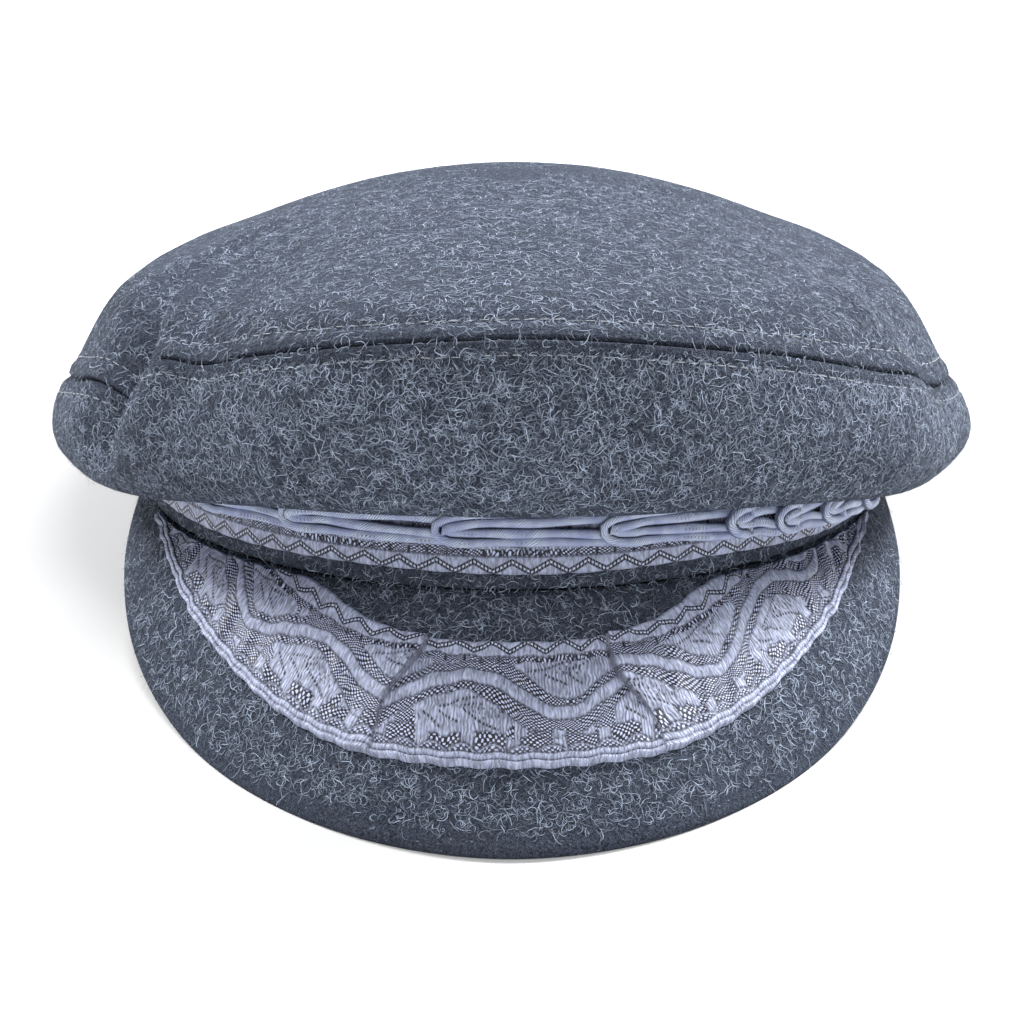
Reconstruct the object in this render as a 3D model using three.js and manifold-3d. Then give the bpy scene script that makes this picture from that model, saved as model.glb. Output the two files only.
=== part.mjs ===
// Fisherman's cap: a soft wool crown over a stiff band, with a sloping visor, ribbon and cord braid.
// Every piece is drawn about the band, front towards -Y and the band's lower edge at z = 0. The whole
// cap is then tipped back until it rests on the visor's front edge and the back of the band.
import * as THREE from 'three';
import { ParametricGeometry } from 'three/addons/geometries/ParametricGeometry.js';
import { mergeVertices } from 'three/addons/utils/BufferGeometryUtils.js';
import Module from 'manifold-3d';

// Sizes in millimetres
const HEAD_WIDTH = 168; // inside of the band, side to side
const HEAD_LENGTH = 200; // inside of the band, front to back
const BAND_WALL = 3;
const BAND_HEIGHT = 32;
const CLOTH = 2.4; // crown wall, wool with its backing
const FRONT_RISE = 61.5; // crown seam above the band's lower edge, at the front
const OVERHANG = 22.2; // how far the crown stands out past the band
const CROWN_PEAK = 73; // highest point of the crown
const VISOR_REACH = 45;
const VISOR_DROP = 43.4;
const VISOR_WALL = 3.2;
const VISOR_CAMBER = 1.5;
const RIBBON_WALL = 1;
const RIBBON_FOOT = 4.5; // bare wool below the band ribbon
const RIBBON_HEAD = 2; // bare wool above the band ribbon, hidden by the crown
const TRIM_WALL = 1;
const CORD_RADIUS = 1.7;
const CORD_LIFT = 0.9; // each loop's end rides this far over the loop before it
const CORD_SPREAD = 2.2; // half the distance between the two arms of a loop
const GAP = 0.3; // clearance between neighbouring pieces
const REST_FLAT = 0.6; // depth pressed flat where the cap rests

// Round the head, angle 0 at the front and 90 at the wearer's left. Seam height is a share of
// FRONT_RISE, droop (the crown's lowest line) of BAND_HEIGHT, overhang of OVERHANG.
const CROWN_STEP_ANGLE = 30;
const CROWN_SECTIONS = [
  // seam, droop, overhang
  [1.0, 0.63, 0.97],
  [0.89, 0.565, 0.98],
  [0.64, 0.31, 1.0],
  [0.43, 0.19, 1.0],
  [0.42, 0.2, 0.92],
  [0.47, 0.28, 0.8],
  [0.51, 0.32, 0.74],
];

// Side panel from the band to the crown seam. Out is a share of the overhang. Below the droop line
// the height is a share of the way down to it from the band, above it of the way up to the seam.
const SIDE_PROFILE = [
  // out, down to droop, up to seam
  [-0.11, 0, 0],
  [0.08, 0, 0],
  [0.3, 0.05, 0],
  [0.5, 0.7, 0],
  [0.68, 1, 0],
  [0.91, 1, 0.16],
  [1.0, 1, 0.42],
  [0.92, 1, 0.74],
  [0.79, 1, 1],
];

// Soft dents in the crown, by degrees round the head: angle at the seam, lean of the dent below and
// above the seam over the crown's height, width towards the back and the front. Depth, and the ridge
// that stands up on the dent's front side, are shares of OVERHANG.
const DENTS = [
  { angle: -56, below: 14, above: -44, back: 12, front: 4.5, depth: 0.383, ridge: 0.081 },
  { angle: -48, below: 0, above: 0, back: 8, front: 13, depth: 0.117, ridge: 0 },
  { angle: 68, below: 4, above: 4, back: 9, front: 7, depth: 0.108, ridge: 0.036 },
];
const RIDGE_AWAY_ANGLE = 10; // from dent to ridge
const RIDGE_WIDTH_ANGLE = 4.5;
const DENT_IN = 0.7; // share of the depth pressed inwards
const DENT_DOWN = 0.8; // share of the depth pressed down

// Visor, every 15 degrees either side of the front: reach and drop as shares of the named sizes.
const VISOR_STEP_ANGLE = 15;
const VISOR_SHAPE = [
  // reach, drop
  [1.0, 1.0],
  [0.93, 0.975],
  [0.765, 0.905],
  [0.565, 0.78],
  [0.385, 0.55],
  [0.2, 0.27],
  [0.05, 0.04],
];
const VISOR_FAN = 0.62; // how much the visor spreads sideways with the angle
const VISOR_END_ANGLE = 88;
const VISOR_TAPER_ANGLE = 14; // over which its wall thins at each end
const VISOR_NOSE = 0.35; // share of its wall that its rounded edge stands out

// Visor trim, every 10 degrees: inner and outer edge as shares of the way down the visor.
const TRIM_STEP_ANGLE = 10;
const TRIM_END_ANGLE = 70;
const TRIM_EDGES = [
  // inner, outer
  [0.215, 0.705],
  [0.212, 0.708],
  [0.16, 0.705],
  [0.03, 0.645],
  [0.02, 0.54],
  [0.02, 0.42],
  [0.02, 0.235],
  [0.02, 0.07],
];

// Cord braid, a chain of loops: where each loop's closed end lies, and its height as a share of
// BAND_HEIGHT.
const BRAID_LOOPS = [
  { angle: -88, height: 0.375 },
  { angle: -67, height: 0.406 },
  { angle: -50, height: 0.437 },
  { angle: -33, height: 0.456 },
  { angle: -10, height: 0.469 },
  { angle: 13, height: 0.456 },
  { angle: 32, height: 0.394 },
  { angle: 41, height: 0.35 },
  { angle: 51, height: 0.319 },
  { angle: 63, height: 0.3 },
  { angle: 75, height: 0.294 },
  { angle: 88, height: 0.294 },
];
const LOOP_TUCK_ANGLE = 5; // that a loop's arms run on under the next loop
const LOOP_TURN_ANGLE = 4; // longest bend at a loop's closed end
// One arm of a loop from its tucked end: shares of the tuck, of the run and of the bend added
// together give the angle. Spread is a share of CORD_SPREAD and lift of CORD_LIFT.
const LOOP_ARM = [
  { tuck: 1, run: 1, turn: 0, spread: 0.35, lift: 0 },
  { tuck: 0, run: 1, turn: 0, spread: 0.8, lift: 0 },
  { tuck: 0, run: 0.6, turn: 0, spread: 1, lift: 0.35 },
  { tuck: 0, run: 0, turn: 1, spread: 1, lift: 1 },
  { tuck: 0, run: 0, turn: 0.3, spread: 0.75, lift: 1 },
];

const DEG = Math.PI / 180;
const BAND_A = HEAD_WIDTH / 2 + BAND_WALL;
const BAND_B = HEAD_LENGTH / 2 + BAND_WALL;

// Smooth curve through equally spaced values, level at the front and the back of the head.
function alongTable(rows, column, place) {
  const last = rows.length - 1;
  const i = Math.min(Math.max(Math.floor(place), 0), last - 1);
  const value = (k) => rows[k < 0 ? -k : k > last ? 2 * last - k : k][column];
  return value(i) + hermite(place - i, value, i);
}

function hermite(u, value, i) {
  const slopeIn = (value(i + 1) - value(i - 1)) / 2;
  const slopeOut = (value(i + 2) - value(i)) / 2;
  const rise = value(i + 1) - value(i);
  return u * (slopeIn + u * (3 * rise - 2 * slopeIn - slopeOut + u * (slopeIn + slopeOut - 2 * rise)));
}

// The same curve with free ends, for a profile.
function alongProfile(values, place) {
  const last = values.length - 1;
  const i = Math.min(Math.max(Math.floor(place), 0), last - 1);
  const value = (k) => {
    if (k < 0) return 2 * values[0] - values[1];
    if (k > last) return 2 * values[last] - values[last - 1];
    return values[k];
  };
  return value(i) + hermite(place - i, value, i);
}

// Plan of the head: the band's outer ellipse, moved outwards by `out`.
function plan(angle, out, z) {
  const s = Math.sin(angle * DEG);
  const c = Math.cos(angle * DEG);
  const normal = new THREE.Vector2(BAND_B * s, -BAND_A * c).normalize();
  return new THREE.Vector3(BAND_A * s + out * normal.x, -BAND_B * c + out * normal.y, z);
}

function turned(angle) {
  return THREE.MathUtils.euclideanModulo(angle + 180, 360) - 180;
}

function crownSection(angle) {
  const place = Math.abs(turned(angle)) / CROWN_STEP_ANGLE;
  return {
    seam: FRONT_RISE * alongTable(CROWN_SECTIONS, 0, place),
    droop: BAND_HEIGHT * alongTable(CROWN_SECTIONS, 1, place),
    out: OVERHANG * alongTable(CROWN_SECTIONS, 2, place),
  };
}

// The dents deepen from the first way to the second and fade from the third to the last, where way is
// 0 at the band, 1 at the seam and more above it.
const DENT_WAYS = [0.5, 0.85, 1, 1.4];

function dentDepth(angle, way) {
  const [low, full, seam, end] = DENT_WAYS;
  const fade =
    THREE.MathUtils.smoothstep(way, low, full) * (1 - THREE.MathUtils.smoothstep(way, seam, end));
  let depth = 0;
  for (const dent of DENTS) {
    const side = Math.sign(dent.angle);
    const lean = (way < 1 ? dent.below : dent.above) * (way - 1);
    const away = side * turned(angle - dent.angle - lean);
    const width = away > 0 ? dent.back : dent.front;
    depth += dent.depth * Math.exp(-((away / width) ** 2));
    depth -= dent.ridge * Math.exp(-(((away + RIDGE_AWAY_ANGLE) / RIDGE_WIDTH_ANGLE) ** 2));
  }
  return depth * fade * OVERHANG;
}

function dented(point, angle, way) {
  const depth = dentDepth(angle, way);
  const inward = plan(angle, 0, 0).sub(plan(angle, 1, 0));
  point.addScaledVector(inward, DENT_IN * depth);
  point.z -= DENT_DOWN * depth;
  return point;
}

function sidePoint(angle, way) {
  const { seam, droop, out } = crownSection(angle);
  const foot = BAND_HEIGHT + GAP;
  const heights = SIDE_PROFILE.map(([, down, up]) => foot + (droop - foot) * down + (seam - droop) * up);
  const place = way * (SIDE_PROFILE.length - 1);
  const across = out * alongProfile(SIDE_PROFILE.map((row) => row[0]), place);
  const point = plan(angle, across, alongProfile(heights, place));
  return dented(point, angle, way);
}

// Dome over the seam. Share is 0 at the middle and 1 at the seam.
const DOME_ROUND = 2.05;
const SHOULDER = 0.21;
const SHOULDER_FROM = 0.86;
const SHOULDER_TO = 1.05;

function topPoint(angle, share) {
  const { seam, out } = crownSection(angle);
  const rim = plan(angle, out * SIDE_PROFILE[SIDE_PROFILE.length - 1][0], 0);
  const shoulder =
    THREE.MathUtils.smoothstep(share, SHOULDER_FROM, SHOULDER_TO) /
    THREE.MathUtils.smoothstep(1, SHOULDER_FROM, SHOULDER_TO);
  const fall = (1 - SHOULDER) * share ** DOME_ROUND + SHOULDER * shoulder;
  const point = rim.multiplyScalar(share);
  point.z = CROWN_PEAK - (CROWN_PEAK - seam) * fall;
  return dented(point, angle, 2 - share);
}

function visorPoint(angle, share) {
  const place = Math.abs(angle) / VISOR_STEP_ANGLE;
  const reach = VISOR_REACH * alongTable(VISOR_SHAPE, 0, place);
  const drop = VISOR_DROP * alongTable(VISOR_SHAPE, 1, place);
  const length = Math.hypot(reach, drop);
  const crown = (VISOR_CAMBER * 4 * share * (1 - share) * length) / Math.hypot(VISOR_REACH, VISOR_DROP);
  const across = reach * share + (crown * drop) / length;
  const point = plan(angle, 0, -GAP - drop * share + (crown * reach) / length);
  point.x += across * Math.sin(VISOR_FAN * angle * DEG);
  point.y -= across * Math.cos(VISOR_FAN * angle * DEG);
  return point;
}

// Outward normal of a surface given by an angle and a share that climbs or falls along it.
function normalOf(surface, angle, share, sense) {
  const step = 0.01;
  const around = surface(angle + 1, share).sub(surface(angle - 1, share));
  const low = Math.max(share - step, 0);
  const high = Math.min(share + step, 1);
  const along = surface(angle, high).sub(surface(angle, low));
  return around.cross(along).normalize().multiplyScalar(sense);
}

function spaced(steps, from, to) {
  const count = Math.round(steps);
  return Array.from({ length: count + 1 }, (_, i) => from + ((to - from) * i) / count);
}

// Columns round the head, closer together over the deep dent.
const COLUMN_ANGLE = 6;
const FINE_ANGLE = 3;
const FINE_FROM_ANGLE = -84;
const FINE_TO_ANGLE = -36;
const HALF_TURN = 180;
const ROUND = [
  ...spaced((FINE_FROM_ANGLE + HALF_TURN) / COLUMN_ANGLE, -HALF_TURN, FINE_FROM_ANGLE),
  ...spaced((FINE_TO_ANGLE - FINE_FROM_ANGLE) / FINE_ANGLE, FINE_FROM_ANGLE, FINE_TO_ANGLE).slice(1),
  ...spaced((HALF_TURN - FINE_TO_ANGLE) / COLUMN_ANGLE, FINE_TO_ANGLE, HALF_TURN).slice(1),
];

const wasm = await Module();
wasm.setup();

function toSolid(geometry) {
  const bare = geometry.clone();
  bare.deleteAttribute('normal');
  bare.deleteAttribute('uv');
  const merged = mergeVertices(bare, 1e-5);
  const triangles = [];
  const index = merged.index.array;
  for (let i = 0; i < index.length; i += 3) {
    const [a, b, c] = [index[i], index[i + 1], index[i + 2]];
    if (a !== b && b !== c && c !== a) triangles.push(a, b, c);
  }
  const mesh = new wasm.Mesh({
    numProp: 3,
    vertProperties: new Float32Array(merged.attributes.position.array),
    triVerts: new Uint32Array(triangles),
  });
  return new wasm.Manifold(mesh);
}

// A wall drawn as one section for each column. A closed section repeats its first point at its end.
function wallOf(sections) {
  const columns = sections.length - 1;
  const rows = sections[0].length - 1;
  const pick = (u, v, target) => target.copy(sections[Math.round(u * columns)][Math.round(v * rows)]);
  return toSolid(new ParametricGeometry(pick, columns, rows));
}

function closedLoop(points) {
  return [...points, points[0].clone()];
}

// A strip that ends at both sides has its end sections drawn together to a point, as a flat cap.
function capped(sections) {
  const middle = (section) => {
    const centre = new THREE.Vector3();
    for (const point of section.slice(1)) centre.add(point);
    centre.divideScalar(section.length - 1);
    return section.map(() => centre.clone());
  };
  return [middle(sections[0]), ...sections, middle(sections[sections.length - 1])];
}

// Both crown pieces end at the seam on one shared slanting face, with the gap between them.
function seamInward(angle) {
  const inward = plan(angle, 0, 0).sub(plan(angle, 1, 0));
  inward.z = -1;
  return inward.normalize();
}

function crownTop() {
  const shares = [0, 0.2, 0.4, 0.58, 0.73, 0.84, 0.92, 0.97, 1];
  const sections = ROUND.map((angle) => {
    const outer = shares.map((share) => topPoint(angle, share));
    const inner = shares.map((share, i) => {
      if (share === 0) return outer[i].clone().add(new THREE.Vector3(0, 0, -CLOTH));
      const inward = share === 1 ? seamInward(angle) : normalOf(topPoint, angle, share, 1);
      return outer[i].clone().addScaledVector(inward, CLOTH);
    });
    outer[shares.length - 1].z += GAP;
    inner[shares.length - 1].z += GAP;
    return [...inner, ...outer.reverse()];
  });
  return wallOf(sections);
}

function crownSide() {
  const ways = [0, 0.12, 0.25, 0.36, 0.46, 0.56, 0.66, 0.77, 0.88, 0.95, 1];
  const sections = ROUND.map((angle) => {
    const outer = ways.map((way) => sidePoint(angle, way));
    const inner = ways.map((way, i) => {
      const inward = way === 1 ? seamInward(angle) : normalOf(sidePoint, angle, way, -1);
      return outer[i].clone().addScaledVector(inward, CLOTH);
    });
    return closedLoop([...outer, ...inner.reverse()]);
  });
  return wallOf(sections);
}

function bandWall(inside, outside, low, high) {
  const sections = ROUND.map((angle) =>
    closedLoop([
      plan(angle, outside, low),
      plan(angle, outside, high),
      plan(angle, inside, high),
      plan(angle, inside, low),
    ]),
  );
  return wallOf(sections);
}

const VISOR_COLUMNS = spaced(42, -VISOR_END_ANGLE, VISOR_END_ANGLE);

function visor() {
  const shares = spaced(6, 0, 1);
  const sections = VISOR_COLUMNS.map((angle) => {
    const end = THREE.MathUtils.smoothstep(VISOR_END_ANGLE - Math.abs(angle), -VISOR_TAPER_ANGLE / 2, VISOR_TAPER_ANGLE);
    const wall = VISOR_WALL * end;
    const upper = shares.map((share) => visorPoint(angle, share));
    const lower = shares.map((share, i) =>
      upper[i].clone().addScaledVector(normalOf(visorPoint, angle, share, 1), wall),
    );
    const tip = upper[6].clone().add(lower[6]).multiplyScalar(0.5);
    const forward = upper[6].clone().sub(upper[5]).normalize();
    tip.addScaledVector(forward, wall * VISOR_NOSE);
    return closedLoop([...lower, tip, ...upper.reverse()]);
  });
  return wallOf(capped(sections));
}

function visorTrim() {
  const sections = spaced(36, -TRIM_END_ANGLE, TRIM_END_ANGLE).map((angle) => {
    const place = Math.abs(angle) / TRIM_STEP_ANGLE;
    const inner = alongTable(TRIM_EDGES, 0, place);
    const outer = alongTable(TRIM_EDGES, 1, place);
    const shares = spaced(4, inner, outer);
    const lift = (share, height) =>
      visorPoint(angle, share).addScaledVector(normalOf(visorPoint, angle, share, -1), height);
    const upper = shares.map((share) => lift(share, GAP + TRIM_WALL));
    const lower = shares.map((share) => lift(share, GAP));
    return closedLoop([...lower, ...upper.reverse()]);
  });
  return wallOf(capped(sections));
}

const CORD_SIDES = 5;
const CORD_STEPS = 16;

// One loop of the braid: out along the upper arm, round its closed end, back along the lower arm.
function braidLoop(loop, next) {
  const bed = GAP + RIBBON_WALL + GAP + CORD_RADIUS;
  const run = next.angle - loop.angle;
  const turn = Math.min(LOOP_TURN_ANGLE, run / 3);
  const tuck = Math.min(LOOP_TUCK_ANGLE, run / 2);
  const at = (row, side) => {
    const degrees = row.tuck * tuck + row.run * run + row.turn * turn;
    const share = THREE.MathUtils.clamp(degrees / run, 0, 1);
    const height = BAND_HEIGHT * THREE.MathUtils.lerp(loop.height, next.height, share);
    const out = bed + CORD_LIFT * row.lift;
    return plan(loop.angle + degrees, out, height + side * CORD_SPREAD * row.spread);
  };
  const closedEnd = { tuck: 0, run: 0, turn: 0, spread: 0, lift: 1 };
  const points = [
    ...LOOP_ARM.map((row) => at(row, 1)),
    at(closedEnd, 1),
    ...LOOP_ARM.map((row) => at(row, -1)).reverse(),
  ];
  const outline = new THREE.Shape();
  outline.setFromPoints(
    spaced(CORD_SIDES, 0, 2 * Math.PI)
      .slice(1)
      .map((a) => new THREE.Vector2(CORD_RADIUS * Math.cos(a), CORD_RADIUS * Math.sin(a))),
  );
  const extrudePath = new THREE.CatmullRomCurve3(points);
  return toSolid(new THREE.ExtrudeGeometry(outline, { steps: CORD_STEPS, extrudePath }));
}

function cordBraid() {
  const loops = BRAID_LOOPS.slice(1).map((next, i) => braidLoop(BRAID_LOOPS[i], next));
  return wasm.Manifold.union(loops);
}

const WOOL = '#545d6c';
const RIBBON = '#8d94b4';
const CORD = '#9399bd';

const PIECES = [
  { name: 'crown_top', solid: crownTop(), colour: WOOL, roughness: 0.95 },
  { name: 'crown_side', solid: crownSide(), colour: WOOL, roughness: 0.95 },
  { name: 'band', solid: bandWall(-BAND_WALL, 0, 0, BAND_HEIGHT), colour: WOOL, roughness: 0.95 },
  {
    name: 'band_ribbon',
    solid: bandWall(GAP, GAP + RIBBON_WALL, RIBBON_FOOT, BAND_HEIGHT - RIBBON_HEAD),
    colour: RIBBON,
    roughness: 0.7,
  },
  { name: 'cord_braid', solid: cordBraid(), colour: CORD, roughness: 0.75 },
  { name: 'visor', solid: visor(), colour: WOOL, roughness: 0.95 },
  { name: 'visor_trim', solid: visorTrim(), colour: RIBBON, roughness: 0.7 },
];

// Tip the cap back until the underside of the visor's edge and the back of the band both touch the
// floor, then press both flat by REST_FLAT.
const TILT = Math.max(
  ...VISOR_COLUMNS.map((angle) => {
    const foot = visorPoint(angle, 1).addScaledVector(normalOf(visorPoint, angle, 1, 1), VISOR_WALL);
    return Math.atan2(-foot.z, BAND_B - foot.y);
  }),
);
const floorUnderBand = -BAND_B * Math.sin(TILT);

const rested = PIECES.map(({ solid }) =>
  solid
    .rotate([-TILT / DEG, 0, 0])
    .translate([0, 0, -floorUnderBand - REST_FLAT])
    .trimByPlane([0, 0, 1], 0),
);
const box = new THREE.Box3();
for (const solid of rested) {
  const { min, max } = solid.boundingBox();
  box.expandByPoint(new THREE.Vector3(...min)).expandByPoint(new THREE.Vector3(...max));
}
const centre = box.getCenter(new THREE.Vector3());

const cap = new THREE.Group();
cap.name = 'fisherman_cap';
PIECES.forEach(({ name, colour, roughness }, i) => {
  const { vertProperties, triVerts } = rested[i].translate([-centre.x, -centre.y, 0]).getMesh();
  const geometry = new THREE.BufferGeometry();
  geometry.setAttribute('position', new THREE.BufferAttribute(new Float32Array(vertProperties), 3));
  geometry.setIndex(new THREE.BufferAttribute(new Uint32Array(triVerts), 1));
  geometry.computeVertexNormals();
  const material = new THREE.MeshStandardMaterial({ color: colour, roughness, metalness: 0 });
  const mesh = new THREE.Mesh(geometry, material);
  mesh.name = name;
  cap.add(mesh);
});

export default cap;
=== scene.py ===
"""Fisherman's cap: wool crown, band and visor, woven ribbon and a looped cord braid."""

from math import cos, pi, radians, sin, sqrt

import bmesh
import bpy
import numpy as np
from bpy.props import FloatProperty, FloatVectorProperty, IntProperty, PointerProperty
from bpy.types import Operator, Panel, PropertyGroup
from mathutils import Matrix, Vector


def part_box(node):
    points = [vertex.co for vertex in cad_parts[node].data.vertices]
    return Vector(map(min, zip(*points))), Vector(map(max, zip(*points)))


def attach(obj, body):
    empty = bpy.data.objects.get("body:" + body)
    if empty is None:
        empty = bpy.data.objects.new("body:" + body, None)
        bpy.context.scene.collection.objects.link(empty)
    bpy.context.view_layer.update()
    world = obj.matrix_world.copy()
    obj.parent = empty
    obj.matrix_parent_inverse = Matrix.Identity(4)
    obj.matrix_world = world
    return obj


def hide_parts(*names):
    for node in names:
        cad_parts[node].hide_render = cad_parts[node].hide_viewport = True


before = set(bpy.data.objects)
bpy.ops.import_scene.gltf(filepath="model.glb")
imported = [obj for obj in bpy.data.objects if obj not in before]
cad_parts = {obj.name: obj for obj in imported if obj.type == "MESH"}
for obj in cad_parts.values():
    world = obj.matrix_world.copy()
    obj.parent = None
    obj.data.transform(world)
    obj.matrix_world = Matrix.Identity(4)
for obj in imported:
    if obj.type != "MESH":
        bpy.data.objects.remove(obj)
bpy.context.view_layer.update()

bl_info = {
    "name": "Fisherman's cap",
    "version": (1, 0, 0),
    "blender": (4, 5, 0),
    "location": "3D View > Sidebar > Cap",
    "description": "Builds a wool fisherman's cap with ribbon and cord trim over its packed frame",
    "category": "Add Mesh",
}

MM = 0.001
UV_PER_MM = 0.01
WELD = 2e-6
TINY = 1e-9

# Tables


# Round the head every 30 degrees from the front: seam height as a share of the front rise, droop as
# a share of the band's height, overhang as a share of the largest overhang.
CROWN_STEP = 30
CROWN_SECTIONS = [
    (1.0, 0.63, 0.97),
    (0.89, 0.565, 0.98),
    (0.64, 0.34, 1.0),
    (0.43, 0.235, 1.0),
    (0.42, 0.22, 0.92),
    (0.47, 0.28, 0.8),
    (0.51, 0.32, 0.74),
]
# Side panel from band to seam: out as a share of the overhang, share of the way down to the droop
# line, share of the way from there up to the seam.
SIDE_PROFILE = [
    (-0.11, 0, 0),
    (0.08, 0, 0),
    (0.3, 0.05, 0),
    (0.5, 0.7, 0),
    (0.68, 1, 0),
    (0.91, 1, 0.16),
    (1.0, 1, 0.42),
    (0.92, 1, 0.74),
    (0.79, 1, 1),
]
# Dents: angle, lean below the seam, lean above it, width to the back, width to the front, depth and
# ridge as shares of the overhang.
DENTS = [
    (-56, 15, -44, 6.2, 4, 0.58, 0.24),
    (-48, 0, 0, 8, 13, 0.117, 0.0),
    (68, 4, 4, 9, 7, 0.108, 0.036),
]
# Share of a dent's depth that is pressed inwards and down.
DENT_IN = 0.7
DENT_DOWN = 0.8
# How far up the side panel a dent starts to show and is full, and how far over the top it dies away.
DENT_START = (0.55, 0.87)
DENT_END = (1, 1.55)
# Degrees from a dent to the ridge beside it, and the ridge's width.
RIDGE_AWAY = 10
RIDGE_WIDTH = 4.5
# Slow waves of the soft cloth: height in mm, number round the head, climb up the panel and start.
SOFT_WAVES = [
    (0.35, 5, 3.1, 0.0),
    (0.25, 9, -4.3, 1.0),
    (0.2, 14, 7.7, 2.0),
    (0.15, 23, -9.0, 0.7),
]
SOFT_WAVES_START = (0.3, 0.7)
# Top panel: share of its fall that is a dome and that is a roll over its edge, and where it rolls.
DOME_FALL = 0.79
DOME_POWER = 2.05
EDGE_FALL = 0.21
EDGE_ROLL = (0.86, 1.05)
TOP_SWELL = 0.5
# The top panel rolls over its edge, so that the seam lies a little down the front.
SEAM_DROP = 1.5
SEAM_DROP_SIDE = (0.85, 1.0)
SEAM_DROP_TOP = (0.92, 1.0)
# Fullness of the top panel at either side, in mm, with the degrees where it comes and goes, and its
# place and width as shares of the way to the seam.
SHOULDER = 2.6
SHOULDER_COMES = (45, 80)
SHOULDER_GOES = (130, 165)
SHOULDER_AT = 0.86
SHOULDER_WIDTH = 0.13
# Visor every 15 degrees from the front: reach and drop as shares of the named sizes.
VISOR_STEP = 15
VISOR_SHAPE = [
    (1.0, 1.0),
    (0.93, 0.975),
    (0.765, 0.905),
    (0.565, 0.78),
    (0.385, 0.55),
    (0.2, 0.27),
    (0.05, 0.04),
]
# How much the visor's rays turn outwards, degrees where it ends, degrees over which its wall thins
# there, its camber in mm, the part tucked under the band in mm and the roundness of its edge.
VISOR_FAN = 0.62
VISOR_END = 88
VISOR_TAPER = 14
VISOR_CAMBER = 1.5
VISOR_TUCK = 2.0
VISOR_EDGE_ROUND = 0.42
# Visor trim every 10 degrees: inner and outer edge as shares of the way down the visor.
TRIM_STEP = 10
TRIM_END = 70
TRIM_EDGES = [
    (0.215, 0.705),
    (0.212, 0.708),
    (0.16, 0.705),
    (0.03, 0.645),
    (0.02, 0.54),
    (0.02, 0.42),
    (0.02, 0.235),
    (0.02, 0.07),
]
# Braid loops: angle of each closed end, and its height on the band in mm.
BRAID_LOOPS = [
    (-88, 12),
    (-67, 13),
    (-50, 14),
    (-33, 14.6),
    (-10, 15),
    (13, 14.6),
    (32, 12.6),
    (41, 10.8),
    (51, 9.2),
    (63, 7.9),
    (75, 7.3),
    (88, 7.3),
]


class CapSizes(PropertyGroup):
    head_width: FloatProperty(
        name="Head width", description="Inside the band, side to side", default=0.168, unit="LENGTH"
    )
    head_length: FloatProperty(
        name="Head length", description="Inside the band, front to back", default=0.2, unit="LENGTH"
    )
    band_wall: FloatProperty(
        name="Band wall", description="Thickness of the covered band", default=0.003, unit="LENGTH"
    )
    band_height: FloatProperty(
        name="Band height", description="Height of the band", default=0.032, unit="LENGTH"
    )
    front_rise: FloatProperty(
        name="Front rise", description="Crown seam above the band's lower edge at the front",
        default=0.0615, unit="LENGTH",
    )
    overhang: FloatProperty(
        name="Overhang", description="How far the crown stands out past the band", default=0.0222,
        unit="LENGTH",
    )
    crown_peak: FloatProperty(
        name="Crown peak", description="Highest point of the crown over the band's lower edge",
        default=0.073, unit="LENGTH",
    )
    cloth: FloatProperty(
        name="Cloth", description="Thickness of the crown's wool", default=0.002, unit="LENGTH"
    )
    visor_reach: FloatProperty(
        name="Visor reach", description="How far the visor stands out at the front", default=0.045,
        unit="LENGTH",
    )
    visor_drop: FloatProperty(
        name="Visor drop", description="How far the visor falls at the front", default=0.0434,
        unit="LENGTH",
    )
    visor_wall: FloatProperty(
        name="Visor wall", description="Thickness of the covered visor", default=0.0032, unit="LENGTH"
    )
    gap: FloatProperty(name="Gap", description="Clearance between pieces", default=0.0003, unit="LENGTH")
    ribbon_foot: FloatProperty(
        name="Ribbon foot", description="Bare wool under the band ribbon", default=0.004, unit="LENGTH"
    )
    ribbon_top: FloatProperty(
        name="Ribbon top", description="Upper edge of the band ribbon", default=0.03, unit="LENGTH"
    )
    ribbon_wall: FloatProperty(
        name="Ribbon wall", description="Thickness of the woven ribbon", default=0.0007, unit="LENGTH"
    )
    stitch_pitch: FloatProperty(
        name="Stitch pitch", description="Distance from stitch to stitch", default=0.0032, unit="LENGTH"
    )
    stitch_row_low: FloatProperty(
        name="Lower stitch row",
        description="Distance of the lower row of topstitching from the seam", default=0.0039,
        unit="LENGTH",
    )
    stitch_row_high: FloatProperty(
        name="Upper stitch row",
        description="Distance of the upper row of topstitching from the seam", default=0.0058,
        unit="LENGTH",
    )


class CapColours(PropertyGroup):
    wool_dark: FloatVectorProperty(
        name="Wool, dark", description="Ground of the felted wool", subtype="COLOR", size=3,
        default=(0.024, 0.030, 0.046),
    )
    wool_light: FloatVectorProperty(
        name="Wool, light", description="Loose fibres on the wool", subtype="COLOR", size=3,
        default=(0.19, 0.225, 0.30),
    )
    thread: FloatVectorProperty(
        name="Thread", description="Topstitching thread", subtype="COLOR", size=3,
        default=(0.42, 0.45, 0.50),
    )
    ribbon_light: FloatVectorProperty(
        name="Ribbon, light", description="Satin floats of the ribbon", subtype="COLOR", size=3,
        default=(0.44, 0.485, 0.665),
    )
    ribbon_dark: FloatVectorProperty(
        name="Ribbon, dark", description="Ground threads of the ribbon", subtype="COLOR", size=3,
        default=(0.012, 0.014, 0.028),
    )
    cord: FloatVectorProperty(
        name="Cord", description="Braided cord", subtype="COLOR", size=3, default=(0.55, 0.63, 1.0)
    )
    floor: FloatVectorProperty(
        name="Floor", description="Pale studio floor", subtype="COLOR", size=3,
        default=(0.80, 0.80, 0.80),
    )


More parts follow.
